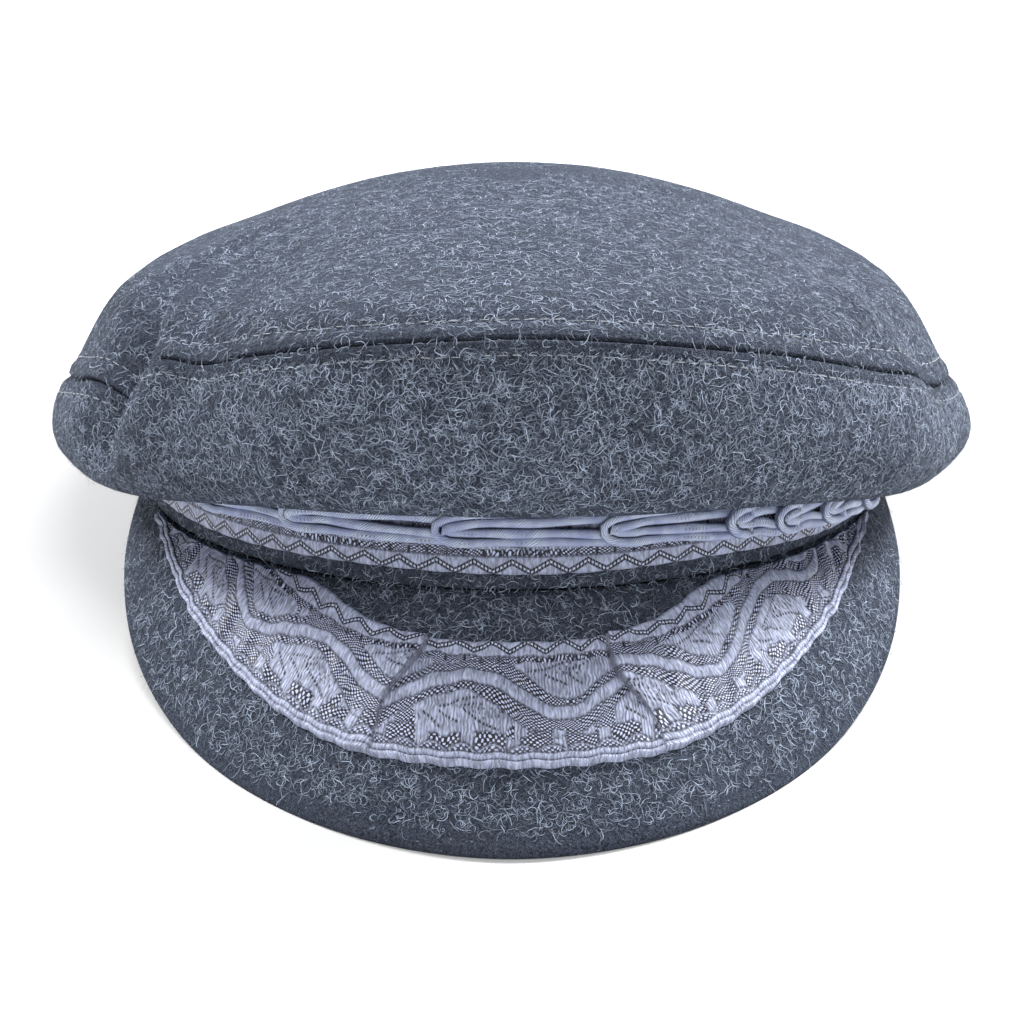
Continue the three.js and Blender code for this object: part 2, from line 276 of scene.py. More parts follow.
class CapDetail(PropertyGroup):
    crown_columns: IntProperty(
        name="Crown columns", description="Columns of cloth round the crown", default=400
    )
    side_fibres: IntProperty(
        name="Side fibres", description="Loose fibres on the side panel", default=17500
    )
    top_fibres: IntProperty(
        name="Top fibres", description="Loose fibres on the top panel", default=18500
    )
    visor_fibres: IntProperty(name="Visor fibres", description="Loose fibres on the visor", default=9500)
    band_fibres: IntProperty(name="Band fibres", description="Loose fibres on the band", default=1500)


def mm(name):
    return getattr(bpy.context.scene.cap_sizes, name) / MM


# Curves and surfaces, in mm


def hermite(u, before, start, end, after):
    slope_in = (end - before) / 2
    slope_out = (after - start) / 2
    rise = end - start
    cubic = slope_in + slope_out - 2 * rise
    square = 3 * rise - 2 * slope_in - slope_out
    return start + u * (slope_in + u * (square + u * cubic))


def along_table(rows, column, place):
    """Smooth curve through equally spaced rows, level at both ends."""
    values = np.array([row[column] for row in rows], float)
    last = len(values) - 1
    i = np.clip(np.floor(place).astype(int), 0, last - 1)

    def value(k):
        k = np.abs(k)
        return values[np.where(k > last, 2 * last - k, k)]

    return hermite(place - i, value(i - 1), value(i), value(i + 1), value(i + 2))


def along_profile(values, place):
    """The same curve with free ends, through the last axis of values."""
    last = values.shape[-1] - 1
    padded = np.concatenate(
        [2 * values[..., :1] - values[..., 1:2], values, 2 * values[..., -1:] - values[..., -2:-1]], axis=-1
    )
    i = np.clip(np.floor(place).astype(int), 0, last - 1)
    pick = [np.take_along_axis(padded, i + k, axis=-1) for k in range(4)]
    return hermite(place - i, *pick)


def smoothstep(x, low, high):
    t = np.clip((x - low) / (high - low), 0, 1)
    return t * t * (3 - 2 * t)


def unit(vectors):
    """The same directions at length 1."""
    return vectors / np.maximum(np.linalg.norm(vectors, axis=-1, keepdims=True), TINY)


def travel_along(points):
    """Distance from the first of a row of points to each of them, from point to point."""
    steps = np.linalg.norm(np.diff(points, axis=0), axis=-1)
    return np.concatenate([[0], np.cumsum(steps)])


def plan(angle, out, z):
    """The band's outer ellipse moved outwards; angle 0 is the front, towards -Y."""
    a = mm("head_width") / 2 + mm("band_wall")
    b = mm("head_length") / 2 + mm("band_wall")
    s, c = np.sin(np.radians(angle)), np.cos(np.radians(angle))
    nx, ny = b * s, -a * c
    size = np.hypot(nx, ny)
    x = a * s + out * nx / size
    y = -b * c + out * ny / size
    return np.stack(np.broadcast_arrays(x, y, z), axis=-1).astype(float)


def outward(angle):
    return plan(angle, 1.0, 0.0) - plan(angle, 0.0, 0.0)


def turned(angle):
    return (angle + 180) % 360 - 180


def crown_section(angle):
    place = np.abs(turned(angle)) / CROWN_STEP
    seam = mm("front_rise") * along_table(CROWN_SECTIONS, 0, place)
    droop = mm("band_height") * along_table(CROWN_SECTIONS, 1, place)
    out = mm("overhang") * along_table(CROWN_SECTIONS, 2, place)
    return seam, droop, out


def dented(points, angle, way):
    """Press the dents into the crown. Way is 0 at the band, 1 at the seam and more above it."""
    fade = smoothstep(way, *DENT_START) * (1 - smoothstep(way, *DENT_END))
    depth = 0
    for at, below, above, back, front, deep, ridge in DENTS:
        lean = np.where(way < 1, below, above) * (way - 1)
        away = np.sign(at) * turned(angle - at - lean)
        width = np.where(away > 0, back, front)
        depth = depth + deep * np.exp(-((away / width) ** 2))
        depth = depth - ridge * np.exp(-(((away + RIDGE_AWAY) / RIDGE_WIDTH) ** 2))
    depth = depth * fade * mm("overhang")
    points = points - outward(angle) * (DENT_IN * depth)[..., None]
    points[..., 2] -= DENT_DOWN * depth
    return points


def unevenness(angle, way):
    """Slow waves of soft cloth, in mm."""
    a = np.radians(angle)
    waves = 0
    for height, count, climb, start in SOFT_WAVES:
        waves = waves + height * np.sin(count * a + climb * way + start)
    return waves * smoothstep(way, *SOFT_WAVES_START)


def side_points(angle, way):
    """Side panel: way is 0 where it is sewn to the band and 1 at the crown seam."""
    seam, droop, out = crown_section(angle)
    foot = mm("band_height") + mm("gap")
    profile = np.array(SIDE_PROFILE)
    shape = np.broadcast_shapes(np.shape(angle), np.shape(way))
    angle, way = np.broadcast_to(angle, shape), np.broadcast_to(way, shape)
    seam, droop, out = (np.broadcast_to(v, shape)[..., None] for v in (seam, droop, out))
    heights = foot + (droop - foot) * profile[:, 1] + (seam - droop) * profile[:, 2]
    outs = out * profile[:, 0]
    place = (way * (len(profile) - 1))[..., None]
    across = along_profile(outs, place)[..., 0] + unevenness(angle, way)
    z = along_profile(heights, place)[..., 0] - SEAM_DROP * smoothstep(way, *SEAM_DROP_SIDE)
    return dented(plan(angle, across, z), angle, way)


def top_points(angle, share):
    """Top panel: share is 0 at its middle and 1 at the crown seam."""
    seam, _, out = crown_section(angle)
    rim = plan(angle, out * SIDE_PROFILE[-1][0] + unevenness(angle, 1.0 + 0 * share), 0.0)
    rolled = smoothstep(share, *EDGE_ROLL) / smoothstep(1.0, *EDGE_ROLL)
    fall = DOME_FALL * share**DOME_POWER + EDGE_FALL * rolled
    points = rim * share[..., None]
    points[..., 2] = mm("crown_peak") - (mm("crown_peak") - seam) * fall
    points[..., 2] += TOP_SWELL * np.sin(3 * np.radians(angle) + 1.0) * share**2 * (1 - share) * 4
    points[..., 2] -= SEAM_DROP * smoothstep(share, *SEAM_DROP_TOP)
    aside = np.abs(turned(angle))
    beside = smoothstep(aside, *SHOULDER_COMES) * (1 - smoothstep(aside, *SHOULDER_GOES))
    full = np.exp(-(((share - SHOULDER_AT) / SHOULDER_WIDTH) ** 2)) * (share < 1)
    points[..., 2] += SHOULDER * beside * full
    return dented(points, angle, 2 - share)


def visor_fall(angle):
    """How far the visor reaches out and drops at its edge."""
    place = np.abs(angle) / VISOR_STEP
    reach = mm("visor_reach") * along_table(VISOR_SHAPE, 0, place)
    drop = mm("visor_drop") * along_table(VISOR_SHAPE, 1, place)
    return reach, drop


def visor_length(angle):
    return np.hypot(*visor_fall(angle))


def visor_points(angle, share):
    """Top of the visor: share is 0 at the band and 1 at the visor's edge."""
    reach, drop = visor_fall(angle)
    length = np.hypot(reach, drop)
    longest = sqrt(mm("visor_reach") ** 2 + mm("visor_drop") ** 2)
    crown = VISOR_CAMBER * 4 * share * (1 - share) * length / longest
    across = reach * share + crown * drop / length
    points = plan(angle, 0.0, -mm("gap") - drop * share + crown * reach / length)
    points[..., 0] += across * np.sin(np.radians(VISOR_FAN * angle))
    points[..., 1] -= across * np.cos(np.radians(VISOR_FAN * angle))
    return points


def normals_of(points, wrap):
    """Normals of a grid of points, rows along axis 0 and columns along axis 1."""
    if wrap:
        around = np.roll(points, -1, axis=1) - np.roll(points, 1, axis=1)
        around[:, 0] = points[:, 1] - points[:, -2]
        around[:, -1] = around[:, 0]
    else:
        around = np.gradient(points, axis=1)
    along = np.gradient(points, axis=0)
    return unit(np.cross(around, along))


def tilt():
    """Angle that the cap leans back at when its visor's edge and the back of its band both rest."""
    angle = np.linspace(-VISOR_END, VISOR_END, 43)
    shares = np.array([[0.99], [1.0]])
    edge = visor_points(angle[None, :], shares)
    normal = normals_of(visor_points(angle[None, :], np.linspace(0, 1, 101)[:, None]), False)[-1]
    foot = edge[1] + normal * mm("visor_wall") * np.sign(-normal[..., 2:3])
    back = mm("head_length") / 2 + mm("band_wall")
    return np.max(np.arctan2(-foot[..., 2], back - foot[..., 1]))


def to_floor(points):
    """From millimetres about the band to metres on the floor, where the frame's band stands."""
    lean = tilt()
    y = points[..., 1] * cos(lean) + points[..., 2] * sin(lean)
    z = points[..., 2] * cos(lean) - points[..., 1] * sin(lean)
    back = mm("head_length") / 2 + mm("band_wall")
    low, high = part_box("band")
    # the band's rearmost and highest points as it leans
    far = back * cos(lean) + mm("band_height") * sin(lean)
    top = mm("band_height") * cos(lean) + back * sin(lean)
    moved = np.stack([points[..., 0], y - far, z - top], axis=-1) * MM
    moved[..., 0] += (low[0] + high[0]) / 2
    moved[..., 1] += high[1]
    moved[..., 2] += high[2]
    moved[..., 2] = np.maximum(moved[..., 2], 0.0)
    return moved


# Meshes


def placed(name, data):
    """A new object of that mesh, camera or light, in the scene."""
    thing = bpy.data.objects.new(name, data)
    bpy.context.scene.collection.objects.link(thing)
    return thing


def kept_mesh(bm, mesh):
    """Write the worked shape into a mesh and let go of it."""
    bm.to_mesh(mesh)
    bm.free()
    return mesh


def smooth(mesh):
    mesh.polygons.foreach_set("use_smooth", np.ones(len(mesh.polygons), bool))
    mesh.update()


def cloth_grid(name, points, wrap_u=False, wrap_v=False, charts=None, weave=None, keep=None):
    """A grid mesh laid on rows by columns of points in mm, welded where it closes on itself."""
    rows, columns = points.shape[:2]
    bm = bmesh.new()
    bmesh.ops.create_grid(bm, x_segments=columns - 1, y_segments=rows - 1, size=1.0)
    if keep is not None:
        bm.faces.ensure_lookup_table()
        drop = [f for f in bm.faces if not keep[f.index // (columns - 1)]]
        bmesh.ops.delete(bm, geom=drop, context="FACES")
    mesh = kept_mesh(bm, bpy.data.meshes.new(name))
    mesh.vertices.foreach_set("co", to_floor(points).reshape(-1).astype(np.float32))
    corner = np.empty(len(mesh.loops), np.int32)
    mesh.loops.foreach_get("vertex_index", corner)
    for layer_name, chart in (charts or {}).items():
        layer = mesh.uv_layers.new(name=layer_name)
        uv = chart.reshape(-1, 2)[corner] * UV_PER_MM
        layer.data.foreach_set("uv", uv.reshape(-1).astype(np.float32))
    if weave is not None:
        layer = mesh.attributes.new("weave", "FLOAT_COLOR", "POINT")
        layer.data.foreach_set("color", weave.reshape(-1).astype(np.float32))
    if wrap_u or wrap_v:
        bm = bmesh.new()
        bm.from_mesh(mesh)
        bmesh.ops.remove_doubles(bm, verts=bm.verts[:], dist=WELD)
        kept_mesh(bm, mesh)
    smooth(mesh)
    return placed(name, mesh)


def face_outwards(piece, middle):
    """Turn a welded shell's faces away from a point inside it."""
    mesh = piece.data
    bm = bmesh.new()
    bm.from_mesh(mesh)
    score = sum((f.calc_center_median() - middle).dot(f.normal) * f.calc_area() for f in bm.faces)
    if score < 0:
        bmesh.ops.reverse_faces(bm, faces=bm.faces[:])
    kept_mesh(bm, mesh).update()


def recalculated(piece):
    """Turn a closed shell's faces outwards."""
    bm = bmesh.new()
    bm.from_mesh(piece.data)
    bmesh.ops.recalc_face_normals(bm, faces=bm.faces[:])
    kept_mesh(bm, piece.data)
    return piece


def fit_piece(piece, material, node=None):
    """Give a piece its material, tie it to the frame and let it stand for its plain solid."""
    piece.data.materials.append(material)
    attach(piece, "root")
    if node:
        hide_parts(node)
    return piece


def thicken(piece, thickness):
    wall = piece.modifiers.new("Cloth", "SOLIDIFY")
    wall.thickness = thickness
    wall.offset = -1
    wall.use_rim = True
    return wall


# Loose fibres: steps of one fibre, range of its length as shares of the usual one, how much it bends
# evenly and wanders, its height over the cloth at its ends and in its middle, and its half width.
FIBRE_STEPS = 5
FIBRE_SPAN = (0.45, 1.5)
FIBRE_BEND = 0.55
FIBRE_WANDER = 0.36
FIBRE_LIFT = 0.06
FIBRE_ARCH = (0.02, 0.24)
FIBRE_HALF = (0.042, 0.085)
FIBRE_TAPER = 0.7
FIBRE_SHADES = (1.6, 2.6)


def loose_fibres(name, points, normals, count, length, seed, weight=1.0):
    """Curled wool fibres scattered over a grid of points, each a narrow ribbon lying near the cloth."""
    rng = np.random.default_rng(seed)
    du = np.diff(points, axis=1)[:-1]
    dv = np.diff(points, axis=0)[:, :-1]
    area = np.linalg.norm(np.cross(du, dv), axis=-1) * weight
    chance = area.reshape(-1) / area.sum()
    cell = rng.choice(chance.size, size=count, p=chance)
    row, column = np.unravel_index(cell, area.shape)
    fu, fv = rng.random((2, count, 1))
    start = points[row, column] + du[row, column] * fu + dv[row, column] * fv
    up = normals[row, column]
    side = unit(du[row, column])
    ahead = np.cross(up, side)
    span = length * rng.uniform(*FIBRE_SPAN, (count, 1)) / FIBRE_STEPS
    bend = rng.normal(0, FIBRE_BEND, (count, 1))
    wander = np.cumsum(rng.normal(0, FIBRE_WANDER, (count, FIBRE_STEPS)), axis=1)
    heading = rng.uniform(0, 2 * pi, (count, 1)) + bend * np.arange(FIBRE_STEPS) + wander
    x = np.concatenate([np.zeros((count, 1)), np.cumsum(np.cos(heading) * span, axis=1)], axis=1)
    y = np.concatenate([np.zeros((count, 1)), np.cumsum(np.sin(heading) * span, axis=1)], axis=1)
    along = np.linspace(0, 1, FIBRE_STEPS + 1)[None, :]
    lift = FIBRE_LIFT + rng.uniform(*FIBRE_ARCH, (count, 1)) * np.sin(pi * along)
    line = start[:, None] + side[:, None] * x[..., None] + ahead[:, None] * y[..., None]
    line = line + up[:, None] * lift[..., None]
    tangent = np.gradient(line, axis=1)
    across = unit(np.cross(tangent, up[:, None]))
    width = rng.uniform(*FIBRE_HALF, (count, 1)) * (1 - FIBRE_TAPER * np.abs(2 * along - 1) ** 3)
    edges = [line + across * width[..., None], line - across * width[..., None]]
    rows = np.stack(edges, axis=1).reshape(count * 2, FIBRE_STEPS + 1, 3)
    # one grid holds all the fibres: the strips of faces between two fibres are left out
    keep = np.arange(count * 2) % 2 == 0
    shade = np.repeat(rng.beta(*FIBRE_SHADES, (count, 1)), FIBRE_STEPS + 1, axis=1)
    shade = np.repeat(shade[:, None], 2, axis=1).reshape(count * 2, FIBRE_STEPS + 1)
    weave = np.stack([shade, shade, shade, np.ones_like(shade)], axis=-1)
    piece = cloth_grid(name, rows, keep=keep, weave=weave)
    return fit_piece(piece, material("fibre"))


# Materials


# Places of the factor and the two colours among a mix node's inputs, and of its colour output.
MIX_COLOUR_INPUTS = (0, 6, 7)
MIX_COLOUR_OUTPUT = 2
# The shader's sockets that hold one value all over a finish.
SOCKETS = {
    "roughness": "Roughness",
    "gloss": "Specular IOR Level",
    "sheen": "Sheen Weight",
    "sheen_roughness": "Sheen Roughness",
    "sheen_tint": "Sheen Tint",
}
# Layers of curled fibre lines in the felt, deepest first: grain, line width, seed, cover, lightness
# and height.
CURL_LAYERS = [
    (1.0, 0.2, 1, 0.7, 0.7, 0.5),
    (0.75, 0.16, 2, 0.8, 1.25, 0.8),
    (0.5, 0.1, 3, 0.85, 2.1, 1.0),
]
CURL_LINES = 8.0
FELT_GRAIN = 1.7
FELT_RELIEF = 0.0007


class Nodes:
    """Short words for building a material's node tree."""

    def __init__(self, name):
        self.material = bpy.data.materials.new(name)
        self.material.use_nodes = True
        self.tree = self.material.node_tree
        self.shader = self.tree.nodes["Principled BSDF"]

    def add(self, kind, **values):
        node = self.tree.nodes.new(kind)
        for key, value in values.items():
            setattr(node, key, value)
        return node

    def join(self, output, entry):
        self.tree.links.new(output, entry)

    def math(self, operation, a, b=0.0, c=0.0, clamp=False):
        node = self.add("ShaderNodeMath", operation=operation, use_clamp=clamp)
        for entry, value in zip(node.inputs, (a, b, c)):
            if hasattr(value, "links"):
                self.join(value, entry)
            else:
                entry.default_value = value
        return node.outputs[0]

    def band(self, value, low, high, to_low=0.0, to_high=1.0):
        node = self.add("ShaderNodeMapRange", interpolation_type="SMOOTHSTEP")
        self.join(value, node.inputs["Value"])
        for key, number in (("From Min", low), ("From Max", high), ("To Min", to_low), ("To Max", to_high)):
            node.inputs[key].default_value = number
        return node.outputs[0]

    def mix(self, share, a, b):
        node = self.add("ShaderNodeMix", data_type="RGBA")
        entries = [node.inputs[place] for place in MIX_COLOUR_INPUTS]
        for entry, value in zip(entries, (share, a, b)):
            if hasattr(value, "links"):
                self.join(value, entry)
            else:
                entry.default_value = value
        return node.outputs[MIX_COLOUR_OUTPUT]

    def noise(self, place, scale, detail=2.0, roughness=0.5, distortion=0.0):
        node = self.add("ShaderNodeTexNoise")
        self.join(place, node.inputs["Vector"])
        node.inputs["Scale"].default_value = scale
        node.inputs["Detail"].default_value = detail
        node.inputs["Roughness"].default_value = roughness
        node.inputs["Distortion"].default_value = distortion
        return node.outputs[0]

    def object_mm(self, shift=(0, 0, 0), turn=(0, 0, 0), scale=(1, 1, 1)):
        place = self.add("ShaderNodeTexCoord").outputs["Object"]
        node = self.add("ShaderNodeMapping")
        self.join(place, node.inputs["Vector"])
        node.inputs["Scale"].default_value = [s / MM for s in scale]
        node.inputs["Rotation"].default_value = turn
        node.inputs["Location"].default_value = shift
        return node.outputs[0]

    def bump(self, height, distance, strength=1.0):
        node = self.add("ShaderNodeBump")
        node.inputs["Distance"].default_value = distance
        node.inputs["Strength"].default_value = strength
        self.join(height, node.inputs["Height"])
        return node.outputs[0]

    def finish(self, colour, relief, **values):
        """Join colour and relief to the shader, set its other sockets and hand over the material."""
        self.join(colour, self.shader.inputs["Base Color"])
        if relief is not None:
            self.join(relief, self.shader.inputs["Normal"])
        for name, value in values.items():
            self.shader.inputs[SOCKETS[name]].default_value = value
        return self.material


def rgba(colour, gain=1.0):
    return (*[min(1.0, c * gain) for c in colour], 1.0)


def curl_lines(nodes, scale, lines, width, seed):
    """Curled fibre lines: level lines of a warped noise, broken into short lengths."""
    shift = (seed * 7.3, seed * -3.1, seed * 5.7)
    place = nodes.object_mm(shift=shift, turn=(seed, seed * 0.7, seed * 1.3))
    value = nodes.noise(place, scale, detail=1.0, roughness=0.45, distortion=0.6)
    wave = nodes.math("PINGPONG", nodes.math("MULTIPLY", value, lines), 0.5)
    line = nodes.band(wave, 0.0, width, 1.0, 0.0)
    broken = nodes.band(nodes.noise(place, scale * 2.1, detail=0.0), 0.42, 0.56)
    return nodes.math("MULTIPLY", line, broken)


def wool_material():
    """Felted wool: a speckled ground under three layers of curled fibre lines."""
    colours = bpy.context.scene.cap_colours
    nodes = Nodes("felted_wool")
    place = nodes.object_mm()
    fine = nodes.noise(place, FELT_GRAIN, detail=2.0, roughness=0.7)
    broad = nodes.noise(place, 0.05, detail=2.0)
    dark, light = colours.wool_dark, colours.wool_light
    felt = nodes.mix(nodes.band(fine, 0.36, 0.64), rgba(dark, 0.3), rgba(dark, 2.4))
    height = nodes.math("MULTIPLY", fine, 0.7)
    for grain, width, seed, cover, lightness, proud in CURL_LAYERS:
        lines = curl_lines(nodes, grain, CURL_LINES, width, seed)
        felt = nodes.mix(nodes.math("MULTIPLY", lines, cover), felt, rgba(light, lightness))
        height = nodes.math("ADD", height, nodes.math("MULTIPLY", lines, proud))
    aged = nodes.mix(nodes.band(broad, 0.3, 0.7, 0.0, 0.1), felt, rgba(light, 0.6))
    sheen = {"sheen": 0.12, "sheen_roughness": 0.5, "sheen_tint": (0.62, 0.72, 0.92, 1)}
    return nodes.finish(aged, nodes.bump(height, FELT_RELIEF), roughness=0.95, gloss=0.1, **sheen)


def fibre_material():
    """Loose fibres, each with its own lightness from the weave attribute."""
    colours = bpy.context.scene.cap_colours
    nodes = Nodes("wool_fibre")
    shade = nodes.add("ShaderNodeAttribute", attribute_name="weave").outputs["Fac"]
    flecked = nodes.noise(nodes.object_mm(), 1.3, detail=1.0)
    mixed = nodes.math("MULTIPLY", shade, nodes.band(flecked, 0.3, 0.7, 0.6, 1.0))
    colour = nodes.mix(mixed, rgba(colours.wool_light, 0.3), rgba(colours.wool_light, 3.5))
    return nodes.finish(colour, None, roughness=0.8, gloss=0.2)


def thread_material():
    """Twisted sewing thread."""
    colours = bpy.context.scene.cap_colours
    nodes = Nodes("stitch_thread")
    twist = nodes.noise(nodes.object_mm(scale=(3, 3, 6)), 1.0, detail=1.0)
    colour = nodes.mix(nodes.band(twist, 0.35, 0.65), rgba(colours.thread, 0.6), rgba(colours.thread, 1.15))
    return nodes.finish(colour, nodes.bump(twist, 0.0001, 0.6), roughness=0.6)


def uv_mm(nodes, layer):
    """The two distances in mm that a piece's UV map holds."""
    coords = nodes.add("ShaderNodeUVMap", uv_map=layer).outputs[0]
    split = nodes.add("ShaderNodeSeparateXYZ")
    nodes.join(coords, split.inputs[0])
    return [nodes.math("MULTIPLY", output, 1 / UV_PER_MM) for output in split.outputs[:2]]


def wave_of(nodes, value, period, phase=0.0):
    return nodes.math("SINE", nodes.math("MULTIPLY_ADD", value, 2 * pi / period, phase))


def bead_lattice(nodes, along, across, pitch):
    """Light beads in staggered rows on a dark ground."""
    value = nodes.math("MULTIPLY", wave_of(nodes, along, pitch), wave_of(nodes, across, pitch))
    return nodes.band(value, 0.0, 0.34)


def ribbon_material():
    """Woven ribbon. The weave attribute mixes ribbed floats, beads, dark outlines and dotted veins; on the
    visor trim the outlines also carry painted shade along the pleats' creases.
    """
    colours = bpy.context.scene.cap_colours
    light, dark = colours.ribbon_light, colours.ribbon_dark
    nodes = Nodes("woven_ribbon")
    u, v = uv_mm(nodes, "cloth")
    _, rows = uv_mm(nodes, "rows")
    weave = nodes.add("ShaderNodeAttribute", attribute_name="weave")
    parts = nodes.add("ShaderNodeSeparateColor")
    nodes.join(weave.outputs["Color"], parts.inputs[0])
    ribbed, beads, outline = parts.outputs
    veins = weave.outputs["Alpha"]
    place = nodes.object_mm()
    wobble = nodes.math("MULTIPLY_ADD", nodes.noise(place, 0.4, detail=1.0), 1.3, u)
    drift = nodes.math("MULTIPLY_ADD", nodes.noise(place, 0.5, detail=1.0), 1.1, rows)
    ribs = nodes.band(wave_of(nodes, wobble, RIB_PITCH), -0.95, 0.1)
    patched = nodes.band(nodes.noise(place, 0.2, detail=0.0), 0.47, 0.53)
    coarse = nodes.math("MAXIMUM", patched, nodes.band(v, BELT - 1.1, BELT - 0.1))
    small = bead_lattice(nodes, wobble, drift, BEAD_SMALL)
    big = bead_lattice(nodes, wobble, drift, BEAD_BIG)
    knot = nodes.mix(coarse, small, big)
    dots = nodes.band(wave_of(nodes, wobble, DOT_PITCH), -0.35, 0.15)
    lengthwise = nodes.add("ShaderNodeCombineXYZ")
    nodes.join(nodes.math("MULTIPLY", wobble, 1.4), lengthwise.inputs[0])
    nodes.join(nodes.math("MULTIPLY", v, 0.35), lengthwise.inputs[1])
    floats = nodes.band(nodes.noise(lengthwise.outputs[0], 1.0, detail=2.0, roughness=0.6), 0.34, 0.66)
    patches = nodes.band(nodes.noise(place, 0.3, detail=1.0), 0.38, 0.62, 0.35, 1.0)
    # satin floats lighter and darker along their length at random; their lightest streaks are painted
    # glints on the satin
    satin = nodes.mix(floats, rgba(light, 0.62), rgba(light, 1.3))
    deep = nodes.math("MULTIPLY", nodes.math("MULTIPLY_ADD", ribbed, 0.5, 0.04), patches)
    furrow = nodes.math("MULTIPLY", nodes.math("SUBTRACT", 1.0, ribs), deep)
    cloth = nodes.mix(furrow, satin, rgba(dark, 1.6))
    beaded = nodes.mix(knot, rgba(dark, 0.8), rgba(light, 1.5))
    cloth = nodes.mix(beads, cloth, beaded)
    cloth = nodes.mix(nodes.math("MULTIPLY", veins, dots), cloth, rgba(dark, 0.8))
    threads = nodes.band(wave_of(nodes, wobble, SOLID_PITCH), -0.9, 0.1, 0.5, 1.0)
    solid = nodes.math("MULTIPLY", outline, threads)
    cloth = nodes.mix(solid, cloth, rgba(dark))
    # zigzag of two dark lines with light beads between, along the edge at v = 0
    tooth = nodes.math("PINGPONG", nodes.math("ADD", u, 500 * ZIGZAG), ZIGZAG / 2)
    climb = nodes.math("MULTIPLY_ADD", tooth, ZIGZAG_RISE * 2 / ZIGZAG, ZIGZAG_FOOT)
    off = nodes.math("ABSOLUTE", nodes.math("SUBTRACT", v, climb))
    near = nodes.band(off, *ZIGZAG_OUTSIDE, 1.0, 0.0)
    inside = nodes.band(off, *ZIGZAG_INSIDE, 1.0, 0.0)
    pearls = nodes.band(wave_of(nodes, u, PEARL_PITCH), -0.6, 0.1)
    serrated = nodes.band(wave_of(nodes, u, SERRATION_PITCH), -1.0, -0.3, 0.6, 1.0)
    strung = nodes.mix(nodes.math("MULTIPLY", inside, pearls), rgba(dark, 0.6), rgba(light, 1.6))
    cloth = nodes.mix(nodes.math("MULTIPLY", near, serrated), cloth, strung)
    plain = nodes.math("MULTIPLY_ADD", ribs, 0.5, nodes.math("MULTIPLY", floats, 0.4))
    raised = nodes.mix(beads, plain, knot)
    sunk = nodes.math("MAXIMUM", solid, nodes.math("MULTIPLY", veins, dots))
    raised = nodes.mix(sunk, raised, (0, 0, 0, 1))
    raised = nodes.mix(near, raised, nodes.math("MULTIPLY", inside, pearls))
    return nodes.finish(cloth, nodes.bump(raised, WEAVE_RELIEF), roughness=0.45, gloss=0.35, sheen=0.1)


def cord_material():
    """Satin cord: fine slanting yarns, a row of small stitches, and painted shade on the flanks where cords
    lie side by side.
    """
    colours = bpy.context.scene.cap_colours
    nodes = Nodes("plaited_cord")
    u, turn = uv_mm(nodes, "cloth")
    place = nodes.object_mm()
    slant = nodes.math("ADD", u, nodes.math("MULTIPLY_ADD", nodes.noise(place, 0.5), 1.2, turn))
    yarn = nodes.band(wave_of(nodes, slant, 0.62), -0.9, 0.5)
    stitched = nodes.band(wave_of(nodes, turn, 2 * pi), 0.93, 0.98)
    ticks = nodes.math("MULTIPLY", nodes.band(wave_of(nodes, u, 0.9), 0.1, 0.6), stitched)
    ticks = nodes.math("MULTIPLY", ticks, nodes.band(nodes.noise(place, 0.12, detail=0.0), 0.6, 0.68))
    # painted shade: each cord's flanks, where it lies beside the other cords, darker than its top
    beside = nodes.band(nodes.math("ABSOLUTE", wave_of(nodes, turn, 2 * pi, pi / 2)), 0.72, 1.0)
    worn = nodes.noise(place, 0.3, detail=3.0)
    light = nodes.mix(nodes.band(worn, 0.3, 0.7), rgba(colours.cord, 0.75), rgba(colours.cord, 1.35))
    colour = nodes.mix(yarn, rgba(colours.cord, 0.55), light)
    # the painted shade on the cords' flanks, mixed towards a near black cord colour
    colour = nodes.mix(nodes.math("MULTIPLY", beside, 0.88), colour, rgba(colours.cord, 0.14))
    colour = nodes.mix(nodes.math("MULTIPLY", ticks, 0.5), colour, rgba(colours.ribbon_dark, 2.0))
    relief = nodes.bump(nodes.math("SUBTRACT", yarn, ticks), 0.00014, 0.8)
    sheen = {"sheen": 0.1, "sheen_tint": (0.7, 0.75, 1.0, 1)}
    return nodes.finish(colour, relief, roughness=0.4, gloss=0.45, **sheen)


MATERIALS = {}


def material(name):
    """The finish of that name, made once."""
    makers = {
        "wool": wool_material,
        "fibre": fibre_material,
        "thread": thread_material,
        "ribbon": ribbon_material,
        "cord": cord_material,
    }
    if name not in MATERIALS:
        MATERIALS[name] = makers[name]()
    return MATERIALS[name]


# Crown


# Distance over which the two panels' normals turn into one at the seam, in mm.
SEAM_BLEND = 2.5
# Relief of the cloth beside the seam, as crease, puff and stitch line: height in mm, distance from
# the seam as a share of the way to the stitches, and half width in mm.
SEAM_RELIEF = [
    (-1.4, 0.0, 0.5),
    (0.4, 0.5, 1.3),
    (-0.3, 1.0, 0.55),
]
# Rows of cloth: share of the way at the end of each stretch, and the rows in it.
SIDE_ROWS = [(0.45, 9), (0.9, 19), (0.98, 9), (1.0, 6)]
TOP_ROWS = [(0.88, 23), (0.985, 17), (1.0, 7)]


def seam_relief(away, row):
    """Height of the cloth beside the crown seam, by distance from it."""
    relief = 0
    for height, share, half in SEAM_RELIEF:
        relief = relief + height * np.exp(-(((away - share * row) / half) ** 2))
    return relief


def row_places(stretches):
    """Places of rows from 0, evenly spaced within each stretch."""
    places, last = [np.zeros(1)], 0
    for end, count in stretches:
        places.append(np.linspace(last, end, count + 1)[1:])
        last = end
    return np.concatenate(places)


